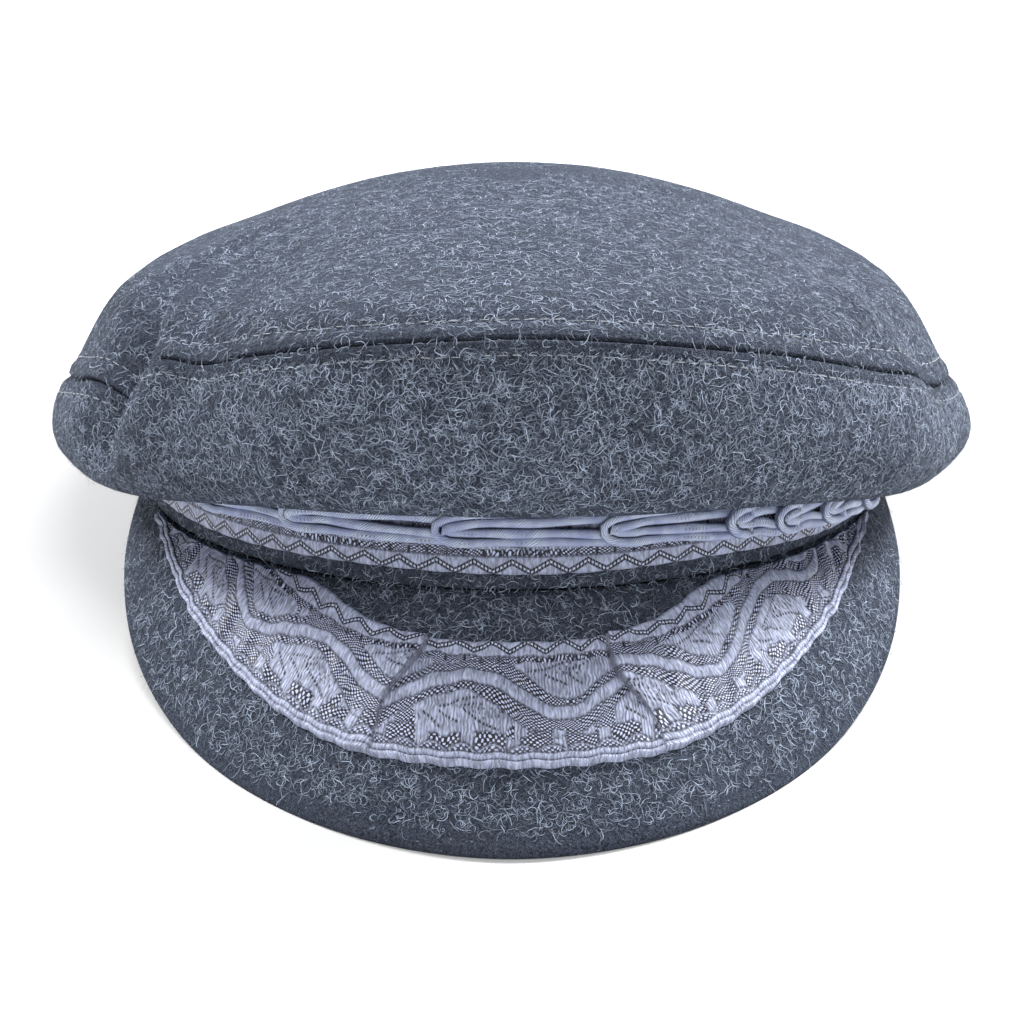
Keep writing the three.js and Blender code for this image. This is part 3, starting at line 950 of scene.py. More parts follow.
def crown_grids():
    """Points, normals and distance from the seam of the side panel and the top panel."""
    columns = bpy.context.scene.cap_detail.crown_columns
    angle = np.linspace(-180, 180, columns + 1)[None, :]
    side = side_points(angle, row_places(SIDE_ROWS)[:, None])
    top = top_points(angle, row_places(TOP_ROWS)[:, None] + 0 * angle)
    normals = []
    for points in (side, top):
        normal = normals_of(points, True)
        facing = (normal[-8] * (outward(angle)[0] + np.array([0, 0, 1.0]))).sum()
        normals.append(normal * np.sign(facing))
    rim = unit(normals[0][-2] + normals[1][-2])
    grids = []
    rows = (mm("stitch_row_low"), mm("stitch_row_high"))
    for points, normal, row in zip((side, top), normals, rows):
        steps = np.linalg.norm(np.diff(points, axis=0), axis=-1)
        away = np.concatenate([np.cumsum(steps[::-1], axis=0)[::-1], np.zeros((1, points.shape[1]))])
        share = np.exp(-((away / SEAM_BLEND) ** 2))[..., None]
        normal = unit(normal * (1 - share) + rim[None] * share)
        moved = points + normal * seam_relief(away, row)[..., None]
        moved[:, -1] = moved[:, 0]
        grids.append((moved, normal, away, row))
    return grids


class CAP_OT_crown(Operator):
    """Lay the crown's top and side panels, with the groove of the seam between them"""

    bl_idname = "cap.crown"
    bl_label = "Crown"

    def execute(self, context):
        middle = Vector((0, 0, 0.05))
        for (points, *_), name in zip(crown_grids(), ("crown_side", "crown_top")):
            piece = cloth_grid(name + "_cloth", points, wrap_u=True)
            face_outwards(piece, middle)
            thicken(piece, mm("cloth") * MM)
            fit_piece(piece, material("wool"), name)
        return {"FINISHED"}


def stitch_line(points, normal, away, row):
    """Line of a row of topstitching at one distance from the seam, and the cloth's normal along it."""
    line, up = [], []
    for column in range(points.shape[1]):
        at = away[::-1, column]
        i = int(np.searchsorted(at, row))
        t = (row - at[i - 1]) / (at[i] - at[i - 1])
        p = points[::-1, column]
        line.append(p[i - 1] * (1 - t) + p[i] * t)
        up.append(normal[::-1, column][i])
    return np.array(line), np.array(up)


# One stitch: share of the pitch that is half its length, how far it strays up or down and stands
# proud in mm, and half its thickness in metres.
STITCH_HALF = (0.33, 0.42)
STITCH_STRAY = 0.09
STITCH_PROUD = 0.12
THREAD_HALF = (0.00013, 0.0002)
STITCH_SEED = 11


def add_stitch(bm, ends, proud, thick):
    """A slim bead of thread from end to end, lying on cloth whose outward side is at proud."""
    x = Vector(ends[1] - ends[0])
    size = x.length / 2
    x.normalize()
    z = Vector(proud - ends[0]).normalized()
    y = z.cross(x).normalized()
    z = x.cross(y)
    middle = (ends[0] + ends[1]) / 2
    rows = [(x[i] * size, y[i] * thick, z[i] * thick, middle[i]) for i in range(3)]
    place = Matrix((*rows, (0, 0, 0, 1))) @ Matrix.Rotation(pi / 2, 4, "Y")
    bmesh.ops.create_uvsphere(bm, u_segments=6, v_segments=4, radius=1.0, matrix=place)


class CAP_OT_topstitch(Operator):
    """Sew a row of stitches either side of the crown seam"""

    bl_idname = "cap.topstitch"
    bl_label = "Topstitching"

    def execute(self, context):
        rng = np.random.default_rng(STITCH_SEED)
        for grid, name in zip(crown_grids(), ("lower", "upper")):
            line, up = stitch_line(*grid)
            travel = travel_along(line)
            count = int(travel[-1] / mm("stitch_pitch"))

            def at(place, values):
                return np.array([np.interp(place, travel, values[:, i]) for i in range(3)])

            bm = bmesh.new()
            for k in range(count):
                centre = (k + 0.5) * travel[-1] / count
                half = mm("stitch_pitch") * rng.uniform(*STITCH_HALF)
                raised = at(centre, up)
                stray = rng.normal(0, STITCH_STRAY, 2)
                ends = [at(centre + s * half, line) + raised * STITCH_PROUD for s in (-1, 1)]
                ends = [end + np.array([0, 0, 1]) * slip for end, slip in zip(ends, stray)]
                proud = to_floor(ends[0] + raised)
                add_stitch(bm, [to_floor(end) for end in ends], proud, rng.uniform(*THREAD_HALF))
            mesh = kept_mesh(bm, bpy.data.meshes.new("topstitch_" + name))
            smooth(mesh)
            fit_piece(placed(mesh.name, mesh), material("thread"))
        return {"FINISHED"}


# Band, visor


# Softly rounded edge of the band in mm: where it starts to round, and where it is cut at the corner.
BAND_ROUND = 0.9
BAND_CORNER = 0.3


class CAP_OT_band(Operator):
    """Cover the stiff band with wool"""

    bl_idname = "cap.band"
    bl_label = "Band"

    def execute(self, context):
        angle = np.linspace(-180, 180, 361)[None, :]
        wall, height = mm("band_wall"), mm("band_height")
        soft, cut = BAND_ROUND, BAND_CORNER
        outline = [(0, height - soft), (-cut, height - cut), (-soft, height), (-wall + soft, height)]
        outline += [(-wall + cut, height - cut), (-wall, height - soft), (-wall, height / 2), (-wall, soft)]
        outline += [(-wall + cut, cut), (-wall + soft, 0), (-soft, 0), (-cut, cut), (0, soft)]
        outline += [(0, z) for z in np.linspace(soft, height - soft, 10)[1:]]
        rows = [plan(angle, out, z)[0] for out, z in outline]
        piece = cloth_grid("band_cloth", np.array(rows), wrap_u=True, wrap_v=True)
        fit_piece(recalculated(piece), material("wool"), "band")
        return {"FINISHED"}


# Rows down the visor to where its edge rounds, rows round the edge, and rows of the grid that gives
# its normals.
VISOR_ROWS = [(0.9, 29), (0.985, 5)]
VISOR_EDGE_ROWS = 9
VISOR_FINE = 200


def visor_loop(angle):
    """Rows of the covered visor: down its top, round its edge and back underneath."""
    taper = smoothstep(VISOR_END - np.abs(angle), -VISOR_TAPER / 2, VISOR_TAPER)
    wall = mm("visor_wall") * taper
    shares = row_places(VISOR_ROWS)
    top = visor_points(angle, shares[:, None] + 0 * angle)
    fine = np.linspace(0, 1, VISOR_FINE + 1)[:, None] + 0 * angle
    normal = normals_of(visor_points(angle, fine), False)
    normal = normal * np.sign(normal[..., 2:3].mean(axis=0, keepdims=True).mean(axis=1, keepdims=True))
    pick = normal[np.clip((shares * VISOR_FINE).astype(int), 1, VISOR_FINE - 1)]
    under = top - pick * wall[..., None]
    tip = visor_points(angle, 1.0 + 0 * angle)[0]
    ahead = unit(tip - visor_points(angle, shares[-1] + 0 * angle)[0])
    edge = []
    for turn in np.linspace(0, pi, VISOR_EDGE_ROWS):
        drop = (1 - cos(turn)) / 2 * wall[0][:, None]
        bulge = sin(turn) * VISOR_EDGE_ROUND * wall[0][:, None]
        edge.append(tip - normal[VISOR_FINE - 1] * drop + ahead * bulge)
    return np.concatenate([top, np.array(edge), under[::-1]]), top, pick


def closed_ends(rows):
    """Draw the first and last columns together, as caps."""
    first = np.repeat(rows[:, :1].mean(axis=0, keepdims=True), len(rows), axis=0)
    last = np.repeat(rows[:, -1:].mean(axis=0, keepdims=True), len(rows), axis=0)
    return np.concatenate([first, rows, last], axis=1)


class CAP_OT_visor(Operator):
    """Cover the sloping visor with wool, rolled over its edge"""

    bl_idname = "cap.visor"
    bl_label = "Visor"

    def execute(self, context):
        angle = np.linspace(-VISOR_END, VISOR_END, 281)[None, :]
        rows, _, _ = visor_loop(angle)
        tucked = [plan(angle, -VISOR_TUCK, -mm("gap") - drop) for drop in (0.0, mm("visor_wall") / 2)]
        rows = np.concatenate([tucked[0], rows, tucked[1], tucked[0]])
        piece = cloth_grid("visor_cloth", closed_ends(rows), wrap_u=True, wrap_v=True)
        fit_piece(recalculated(piece), material("wool"), "visor")
        return {"FINISHED"}


# Ribbons

# The woven ribbon, in mm. Its repeat, the middle, swing and half width of the scrolling stem, and the
# zigzag's length, rise and distance from the edge.
RIBBON_WIDTH = 30.6
SCROLL = 43.0
SCROLL_MIDDLE = 13.2
SCROLL_SWING = 4.7
SCROLL_LILT = 0.5
STEM_HALF = 1.5
ZIGZAG = 8.2
ZIGZAG_RISE = 2.3
ZIGZAG_FOOT = 0.55
# Distances in from the zigzag edge: dark line and the beaded row behind it, beaded belt, dark line
# before the corded edge and the line between its two cords.
HEAD_LINE = 4.0
HEAD_ROW = 1.5
BELT = 22.6
FOOT_LINE = 27.4
EDGE_LINE = 29.05
# Pitch of the threads and beads.
RIB_PITCH = 0.74
BEAD_SMALL = 0.86
BEAD_BIG = 1.16
DOT_PITCH = 0.78
PEARL_PITCH = 0.82
SERRATION_PITCH = 0.62
SOLID_PITCH = 1.1
WEAVE_RELIEF = 0.0003
# Beaded ground beside the stem: its width below and above, with more where the stem falls and more
# under its trough, and its scalloped edge.
GROUND_BELOW = (1.7, 2.3, 1.8)
GROUND_ABOVE = (1.5, 1.7)
GROUND_SCALLOP = 0.3
GROUND_SCALLOP_PITCH = 1.48
# A leaf ends this far along the ribbon from its middle, and nearer beside the line at this distance
# from the edge, below and above the stem.
LEAF_END = (11.0, 11.6)
LEAF_POINT = 0.6
LEAF_LINE = (18.0, 7.5)
# Petals that break the belt: their distance apart and the half width of the ground between them.
PETAL_PITCH = 9.4
PETAL_SHIFT = 2.0
PETAL_HALF = 3.2
# Small scallops beside the corded edge: place of their feet, rise and length.
ARC_FOOT = 26.9
ARC_RISE = 1.6
ARC_PITCH = 6.0
VEIN_HALF = 0.3
SPECK_ROWS = 2.3
SPECK_SPREAD = (3.2, 1.6)
SPECK_LEAST_RUN = 7
# Where the zigzag's dark lines end on their outer and their inner side, in mm from its middle.
ZIGZAG_OUTSIDE = (0.66, 0.8)
ZIGZAG_INSIDE = (0.2, 0.3)
# Dotted veins of the leaves: 1 under the stem's crest or 0 over its trough, then start and end as
# distance along the ribbon from there and distance in from the zigzag edge, in mm.
LEAF_VEINS = [
    (1, -5.7, 17.0, 2.5, 13.9),
    (1, -5.7, 18.0, -1.1, 20.7),
    (1, -0.8, 17.2, 6.8, 22.2),
    (1, -0.8, 16.8, 2.0, 15.7),
    (1, -9.0, 18.8, -5.0, 22.0),
    (0, -8.4, 8.1, 2.3, 5.5),
    (0, -4.6, 8.4, 0.0, 11.6),
    (0, 0.2, 8.0, 6.1, 5.9),
    (0, 0.4, 8.8, 3.6, 11.2),
]


def line_mask(distance, half, soft=0.2):
    return 1 - smoothstep(np.abs(distance), half - soft, half + soft)


def stem_line(u):
    """Middle of the scrolling stem, in from the zigzag edge."""
    phase = 2 * pi * u / SCROLL
    return SCROLL_MIDDLE + SCROLL_SWING * np.cos(phase) + SCROLL_LILT * np.cos(2 * phase + 0.6)


def bead_rows(u, v):
    """Distance across the ribbon that the rows of beads follow: they run with the stem."""
    return v - (stem_line(u) - SCROLL_MIDDLE) * smoothstep(v, 0, 9.5) * (1 - smoothstep(v, 16, 28))


def leaf_veins(u, v, below):
    """Dotted veins of the leaves, and the specks about the tip of a long one."""
    lines = 0.0
    rows = np.sin(pi * u / RIB_PITCH) * np.sin(2 * pi * v / SPECK_ROWS) > 0.35
    for side, start, start_v, end, end_v in LEAF_VEINS:
        here = below == bool(side)
        du = (u + SCROLL / 2 * (1 - side)) % SCROLL - SCROLL / 2
        run, climb = end - start, end_v - start_v
        t = np.clip(((du - start) * run + (v - start_v) * climb) / (run**2 + climb**2), 0, 1)
        distance = np.hypot(du - start - t * run, v - start_v - t * climb)
        lines = np.maximum(lines, line_mask(distance, VEIN_HALF, 0.15) * here)
        if run > SPECK_LEAST_RUN:
            along, across = SPECK_SPREAD
            spread = np.hypot((du - start - run * 0.85) / along, (v - start_v - climb * 0.2) / across)
            lines = np.maximum(lines, 0.9 * rows * here * (spread < 1))
    return lines


def ground_width(u, below):
    """Width of the beaded ground beside the stem."""
    phase = 2 * pi * u / SCROLL
    fall = np.clip(-np.sin(phase), 0, 1)
    trough = np.clip(np.cos(phase), 0, 1)
    low, falling, under = GROUND_BELOW
    high, rising = GROUND_ABOVE
    width = np.where(below, low + falling * fall + under * trough, high + rising * fall)
    return width + GROUND_SCALLOP * np.abs(np.sin(pi * u / GROUND_SCALLOP_PITCH))


def ribbon_chart(u, v):
    """Weave at u along the ribbon and v in from its zigzag edge, in mm: ribs, beads, outlines, veins."""
    slope = -SCROLL_SWING * 2 * pi / SCROLL * np.sin(2 * pi * u / SCROLL)
    off = (v - stem_line(u)) / np.sqrt(1 + slope**2)
    below = off > 0
    reach = np.abs(off) - STEM_HALF
    width = ground_width(u, below)
    beads = smoothstep(reach, 0.1, 0.25) * (1 - smoothstep(reach - width, -0.15, 0.15))
    # leaves beyond the ground, with beads between their ends
    leaf = smoothstep(reach - width, 0.0, 0.25)
    du = (u + np.where(below, 0, SCROLL / 2)) % SCROLL - SCROLL / 2
    ends = leaf * smoothstep(np.abs(du) + LEAF_POINT * np.abs(v - np.where(below, *LEAF_LINE)), *LEAF_END)
    beads = np.maximum(beads, ends * (np.sin(2 * pi * u / 7.0 + 1.0) > -0.4))
    outline = np.maximum(line_mask(reach - 0.12, 0.2), 0.85 * line_mask(reach - width, 0.2) * (1 - ends))
    veins = leaf_veins(u, v, below) * leaf
    # beaded belt broken by petals, and small scallops beside the corded edge
    top = BELT + 0.9 * np.sin(2 * pi * u / 15.0) + 0.5 * np.abs(np.sin(pi * u / 3.4))
    from_petal = np.abs((u + PETAL_SHIFT) % PETAL_PITCH - PETAL_PITCH / 2)
    petal = smoothstep(from_petal, PETAL_HALF, PETAL_HALF + 0.2)
    belt = smoothstep(v, top - 0.15, top + 0.15) * (1 - petal)
    arc = ARC_FOOT - ARC_RISE * np.abs(np.sin(pi * u / ARC_PITCH + 0.4))
    outline = np.maximum(outline, line_mask(v - top, 0.2) * (1 - petal) * 0.8)
    outline = np.maximum(outline, line_mask(v - arc, 0.24))
    sides = line_mask(from_petal - PETAL_HALF - 0.05, 0.16) * smoothstep(v, top, top + 0.4)
    outline = np.maximum(outline, sides * (v < arc))
    beads = np.maximum(beads * (v < top), belt * (1 - smoothstep(v, arc - 0.1, arc + 0.1)))
    beads = np.maximum(beads, smoothstep(v, arc + 0.5, arc + 0.7) * 0.9)
    # plain strip beside the zigzag, closed by a dark line and a beaded row
    past_head = smoothstep(v, HEAD_LINE, HEAD_LINE + 0.15)
    clear = past_head * (1 - smoothstep(v, FOOT_LINE - 0.1, FOOT_LINE + 0.1))
    row = past_head * (1 - smoothstep(v, HEAD_LINE + HEAD_ROW, HEAD_LINE + HEAD_ROW + 0.2))
    notch = row * (np.abs((u / (ZIGZAG / 2)) % 1 - 0.5) < 0.08)
    beads = np.clip(np.maximum(beads, row) * clear, 0, 1)
    outline = np.maximum(outline * clear, np.maximum(line_mask(v - HEAD_LINE, 0.18), notch))
    outline = np.maximum(outline, line_mask(v - FOOT_LINE, 0.22))
    outline = np.maximum(outline, 0.9 * line_mask(v - EDGE_LINE, 0.17))
    ribbed = np.where(leaf > 0.5, 1.0, 0.35) * clear
    return np.stack([ribbed, beads, np.clip(outline, 0, 1), np.clip(veins * clear, 0, 1)], axis=-1)


def ribbon_height(weave, u, v):
    """Relief of the weave: the stem stands proud, and two fine cords are rolled along the plain edge."""
    low = 0.16 * weave[..., 2] + 0.1 * weave[..., 1] + 0.1 * weave[..., 3]
    inner = smoothstep(v, HEAD_LINE, HEAD_LINE + 2) * (1 - smoothstep(v, BELT, BELT + 2))
    stem = 0.22 * np.clip(1 - ((v - stem_line(u)) / STEM_HALF) ** 2, 0, 1) * inner
    cords = 0.3 * np.sqrt(np.abs(np.sin(pi * (v - FOOT_LINE) / (EDGE_LINE - FOOT_LINE)))) * (v > FOOT_LINE)
    return 0.2 - low + stem + cords


def ribbon_piece(name, node, face, under, u, v, weave, middle):
    """Close a ribbon's woven face with a plain back and lay it in the frame."""

    def closed(values):
        return np.concatenate([values, values[-1:], values[:1], values[:1]])

    rows = np.concatenate([face, under[-1:], under[:1], face[:1]])
    lines = {"cloth": v, "rows": bead_rows(u, v)}
    charts = {layer: closed(np.stack([u, across], axis=-1)) for layer, across in lines.items()}
    piece = cloth_grid(name, rows, wrap_v=True, charts=charts, weave=closed(weave))
    face_outwards(piece, middle)
    return fit_piece(piece, material("ribbon"), node)


# How far the band ribbon's lower part has slipped down towards the wearer's left, in mm, the degrees
# where that comes and goes, and the height of that part.
RIBBON_SAG = 1.8
RIBBON_SAG_COMES = (25, 65)
RIBBON_SAG_GOES = (120, 170)
RIBBON_SAG_PART = 12
# Height of a ribbon's back over the wool.
RIBBON_UNDER = 0.12


class CAP_OT_band_ribbon(Operator):
    """Wrap the woven ribbon round the band, zigzag edge down"""

    bl_idname = "cap.band_ribbon"
    bl_label = "Band ribbon"

    def execute(self, context):
        front = np.linspace(-90, 90, 841)
        sides = np.linspace(-180, -90, 120)[:-1], np.linspace(90, 180, 120)[1:]
        angle = np.concatenate([sides[0], front, sides[1]])[None, :]
        low, high = mm("ribbon_foot"), mm("ribbon_top")
        fine, plain = np.linspace(low, low + 9, 31), np.linspace(low + 9, high, 10)[1:]
        heights = np.concatenate([fine, plain])[:, None]
        travel = travel_along(plan(angle, 0.0, 0.0)[0])
        around = travel * (round(travel[-1] / ZIGZAG) * ZIGZAG / travel[-1])
        u = np.broadcast_to(around[None, :], (len(heights), angle.shape[1]))
        v = np.broadcast_to(heights - low, u.shape)
        weave = ribbon_chart(u, v)
        sag = 0.25 * np.sin(u / 13.0) * np.exp(-v / 4.0)
        slipped = smoothstep(angle, *RIBBON_SAG_COMES) * (1 - smoothstep(angle, *RIBBON_SAG_GOES))
        sag = sag - RIBBON_SAG * slipped * (v < RIBBON_SAG_PART)
        scallop = -0.22 * np.abs(np.sin(pi * u / ZIGZAG)) * np.exp(-v / 1.2)
        pucker = 0.12 * np.sin(2 * pi * u / 5.3) * np.exp(-v / 3.0)
        out = mm("gap") + mm("ribbon_wall") + ribbon_height(weave, u, v) * (v < HEAD_LINE + 4) + pucker
        edge = smoothstep(v, -0.01, 0.5)
        out = out * (0.35 + 0.65 * edge)
        face = plan(angle, out, heights + sag + scallop)
        face[:, -1] = face[:, 0]
        under = plan(angle, RIBBON_UNDER, heights + sag + scallop)
        under[:, -1] = under[:, 0]
        ribbon_piece("band_ribbon_weave", "band_ribbon", face, under, u, v, weave, Vector((0, 0, 0.04)))
        return {"FINISHED"}


# Darts that bend the trim: angle at the inner edge and the width taken up there, in mm.
DARTS = [
    (-11.6, 9.0),
    (12.0, 9.0),
]
DART_LEAN = 6.0
# The middle of the trim, measured along the scroll from the trough of its stem.
TRIM_START = -11.7


class CAP_OT_visor_trim(Operator):
    """Lay the crescent of woven ribbon on the visor, folded in a pleat at each bend"""

    bl_idname = "cap.visor_trim"
    bl_label = "Visor trim"

    def execute(self, context):
        angle = np.linspace(-TRIM_END, TRIM_END, 701)[None, :]
        place = np.abs(angle) / TRIM_STEP
        inner = along_table(TRIM_EDGES, 0, place)
        outer = along_table(TRIM_EDGES, 1, place)
        length = visor_length(angle)
        across = np.linspace(0, 1, 101)[:, None]
        travel = travel_along(visor_points(angle, (inner + outer) / 2)[0])
        travel = (travel - travel[len(travel) // 2])[None, :]
        scallop = 0.35 * np.abs(np.sin(pi * travel / (ZIGZAG + 0.6))) / length
        ripple = 0.22 * np.sin(2 * pi * travel / 7.1 + 1.0) / length
        inner, outer = inner - scallop, outer + ripple
        share = inner + (outer - inner) * across
        points = visor_points(angle, share)
        v = RIBBON_WIDTH - (outer - share) * length
        u = np.broadcast_to(travel, v.shape) + TRIM_START
        fold, crease_shade = 0.0, 0.0
        for at, width in DARTS:
            gone = (angle - at) * np.sign(at) - DART_LEAN * across + 0.7 * np.sin(7 * across + at)
            taken = smoothstep(across, 0.8, 0.25)
            lapped = (0.4 + 1.3 * taken) * np.exp(-np.maximum(gone, 0) / 3.0)
            pinched = -0.5 * taken * np.exp(np.minimum(gone, 0) / 1.2)
            fold = fold + np.where(gone > 0, lapped, pinched)
            curl = np.exp(-np.maximum(gone, 0) / 5.0) * np.sin(pi * across)
            u = u + np.where(gone > 0, np.sign(at) * (width * (1 - across) + 2.5 * curl), 0.0)
            v = v + np.where(gone > 0, 2.0 * curl, 0.0)
            # painted shade: a dark line along each pleat's crease, on the inner part of the trim
            crease_shade = np.maximum(crease_shade, line_mask(gone + 0.1, 0.14, 0.14) * 0.6 * taken)
        weave = ribbon_chart(u, v)
        # the painted crease shade joins the weave's dark outlines
        weave[..., 2] = np.maximum(weave[..., 2], np.clip(crease_shade, 0, 1))
        normal = normals_of(points, False)
        normal = normal * np.sign(normal[..., 2].mean())
        bend = smoothstep(np.abs(angle), 10, 40)
        pucker = 0.32 * np.sin(2 * pi * travel / 6.1 + 1.8 * across) * np.exp(-across / 0.35)
        pucker = pucker + 0.26 * np.sin(2 * pi * travel / 9.7 + 4.0 * across)
        pucker = pucker + 0.12 * np.sin(travel / 0.7 + across * 9)
        rolled = np.minimum(smoothstep(across, 0.0, 0.025), smoothstep(1 - across, 0.0, 0.02))
        rolled = np.minimum(rolled, smoothstep(TRIM_END - np.abs(angle), 0.0, 0.6))
        relief = ribbon_height(weave, u, v) + fold + pucker * (0.4 + 0.75 * bend)
        lift = mm("gap") + np.maximum(mm("ribbon_wall") + relief, 0.25) * (0.1 + 0.9 * rolled)
        face = points + normal * lift[..., None]
        under = points + normal * RIBBON_UNDER
        ribbon_piece("visor_trim_weave", "visor_trim", face, under, u, v, weave, Vector((0, 0.05, -0.1)))
        return {"FINISHED"}


# Cord braid

# Cords of each arm: how far each lies towards the inside of its loop, and half its thickness, in mm.
CORDS = [
    (-1.08, 1.06),
    (1.08, 1.1),
]
# Height of a cord's middle over the ribbon, half the distance between a loop's arms, and how high
# its closed end rides over the loop before it and leans down, in mm.
CORD_BED = 1.1
ARM_SPREAD = 2.05
ARM_DROOP = 0.9
ARM_RISE = 0.25
LOOP_LIFT = 1.5
LOOP_SLANT = 0.7
# Degrees round the head that a loop tucks under the one before it, and that its closed end takes.
LOOP_TUCK = 5
LOOP_TURN = 4
LOOP_STEPS = 72
CORD_SIDES = 12
# Slow wander of each cord beside its path as a share of its offset, and its rise and fall in mm.
CORD_WANDER = 0.14
CORD_WANDER_LENGTH = 4.3
CORD_RISE = 0.25
CORD_RISE_LENGTH = 5.1
# Share of its offset that a cord keeps at its two ends.
CORD_GATHER = 0.45
# One arm of a loop from its tucked end: shares of the tuck, the run and the bend that make its angle,
# then its share of the arm spread and of the lift.
LOOP_ARM = [
    (1, 1, 0, 0.55, 0.0),
    (0, 1, 0, 0.95, 0.0),
    (0, 0.6, 0, 1.0, 0.35),
    (0, 0.3, 0, 1.0, 0.7),
    (0, 0, 1, 1.0, 1.0),
    (0, 0, 0.33, 0.75, 1.0),
]


def cross_frame(path, out):
    """Directions along, beside and out from a path that lies on the band."""
    tangent = unit(np.gradient(path, axis=0))
    side = unit(np.cross(out, tangent))
    return tangent, side, np.cross(tangent, side)


def loop_path(loop, following, offset, number):
    """One cord of a braid loop, offset from its middle line: along an arm, round its end and back."""
    bed = mm("gap") * 2 + mm("ribbon_wall") + CORD_BED
    run = following[0] - loop[0]
    turn = min(LOOP_TURN, run / 3)
    tuck = min(LOOP_TUCK, run / 2)
    rows = [(t * tuck + r * run + b * turn, s, l) for t, r, b, s, l in LOOP_ARM]
    rows = rows + [(0, 0, 1.0)] + [(d, -s, l) for d, s, l in reversed(rows)]
    angles, heights, outs = [], [], []
    for degrees, spread, lift in rows:
        share = min(max(degrees / run, 0), 1)
        droop = -ARM_DROOP * smoothstep(share, 0.5, 1.0) if spread < 0 else ARM_RISE * share
        slant = -LOOP_SLANT * (1 - smoothstep(degrees / turn, 0.2, 1.6))
        angles.append(loop[0] + degrees)
        level = loop[1] * (1 - share) + following[1] * share
        heights.append(level + ARM_SPREAD * spread + droop + slant)
        outs.append(bed + LOOP_LIFT * lift)
    knots = plan(np.array(angles), np.array(outs), np.array(heights))
    travel = travel_along(knots)
    even = np.linspace(0, travel[-1], LOOP_STEPS)
    i = np.clip(np.searchsorted(travel, even, side="right") - 1, 0, len(knots) - 2)
    t = ((even - travel[i]) / (travel[i + 1] - travel[i]))[:, None]
    padded = np.concatenate([2 * knots[:1] - knots[1:2], knots, 2 * knots[-1:] - knots[-2:-1]])
    path = hermite(t, padded[i], padded[i + 1], padded[i + 2], padded[i + 3])
    out = outward(np.interp(even, travel, angles))
    _, side, _ = cross_frame(path, out)
    wander = 1 + CORD_WANDER * np.sin(even / CORD_WANDER_LENGTH + 2.1 * number + offset)
    wander = wander * (CORD_GATHER + (1 - CORD_GATHER) * np.sin(pi * even / even[-1]) ** 0.5)
    rise = CORD_RISE * np.sin(even / CORD_RISE_LENGTH + offset * 3 + number)
    path = path + side * (offset * wander)[:, None] + out * rise[:, None]
    return path, out, even


class CAP_OT_braid(Operator):
    """Chain the paired cords across the front of the band"""

    bl_idname = "cap.braid"
    bl_label = "Cord braid"

    def execute(self, context):
        loops = []
        turn = np.linspace(0, 2 * pi, CORD_SIDES + 1)
        for number, (loop, following) in enumerate(zip(BRAID_LOOPS, BRAID_LOOPS[1:])):
            for cord, (offset, half) in enumerate(CORDS):
                path, out, travel = loop_path(loop, following, offset, number)
                _, side, up = cross_frame(path, out)
                swell = half * (1 + 0.1 * np.sin(travel / 3.0 + number + 2 * cord))[:, None, None]
                ring = path[:, None] + swell * (
                    side[:, None] * np.cos(turn)[None, :, None] + up[:, None] * np.sin(turn)[None, :, None]
                )
                ends = [np.repeat(path[i][None, None], len(turn), axis=1) for i in (0, -1)]
                ring = np.concatenate([ends[0], ring, ends[1]])
                along = np.concatenate([travel[:1], travel, travel[-1:]])[:, None] + 0 * turn[None, :]
                charts = {"cloth": np.stack([along, 0 * along + turn[None, :]], axis=-1)}
                loops.append(cloth_grid(f"braid_loop_{number}_{cord}", ring, wrap_u=True, charts=charts))
        with context.temp_override(active_object=loops[0], selected_editable_objects=loops):
            bpy.ops.object.join()
        braid = loops[0]
        braid.name = "cord_braid_loops"
        fit_piece(recalculated(braid), material("cord"), "cord_braid")
        return {"FINISHED"}


# Loose fibres


FIBRE_LENGTH = 3.1
BAND_FIBRE_LENGTH = 3.0
# First row of each crown panel that bears fibres: the side panel's lower rows are hidden, and the
# top panel's first ones meet in its middle.
SIDE_FIRST_ROW = 12
TOP_FIRST_ROW = 2
# The front bears more fibres than the back, as its cosine rises past these.
FRONT_MORE = 1.2
FRONT_COMES = (-0.1, 0.4)
# Distance from the seam in mm, and upward share of the normal, over which fibres set in.
SEAM_BARE = (0.9, 2.2)
UNDER_BARE = (-0.85, -0.5)


class CAP_OT_fibres(Operator):
    """Scatter loose curled fibres over the wool"""

    bl_idname = "cap.fibres"
    bl_label = "Loose fibres"

    def execute(self, context):
        detail = context.scene.cap_detail
        panels = (("side", SIDE_FIRST_ROW, detail.side_fibres), ("top", TOP_FIRST_ROW, detail.top_fibres))
        for seed, (grid, (name, first, count)) in enumerate(zip(crown_grids(), panels), 1):
            points, normal, away = (part[first:] for part in grid[:3])
            angle = np.linspace(-180, 180, points.shape[1])[None, :-1]
            weight = 1 + FRONT_MORE * smoothstep(np.cos(np.radians(angle)), *FRONT_COMES)
            weight = weight * smoothstep(away[1:, 1:], *SEAM_BARE)
            weight = weight * smoothstep(normal[1:, 1:, 2], *UNDER_BARE)
            loose_fibres("fibres_crown_" + name, points, normal, count, FIBRE_LENGTH, seed, weight)
        angle = np.linspace(-VISOR_END + 3, VISOR_END - 3, 200)[None, :]
        _, top, normal = visor_loop(angle)
        loose_fibres("fibres_visor", top[:-2], normal[:-2], detail.visor_fibres, FIBRE_LENGTH, 3)
        angle = np.linspace(-180, 180, 361)[None, :]
        heights = np.linspace(0.3, mm("ribbon_foot"), 5)[:, None]
        strip = plan(angle, 0.0, heights + 0 * angle)
        up = outward(angle) + 0 * strip
        loose_fibres("fibres_band", strip, up, detail.band_fibres, BAND_FIBRE_LENGTH, 4)
        return {"FINISHED"}


# Stage

# The camera: degrees above the cap's own level, distance in metres, focal length and frame in pixels,
# and how far under the band's lower edge it aims, in mm.
CAMERA_RISE = 25.2
CAMERA_AWAY = 1.0
FOCAL_PIXELS = 4150
FRAME_PIXELS = 1024
AIM_LOW = 9.1
SENSOR = 36
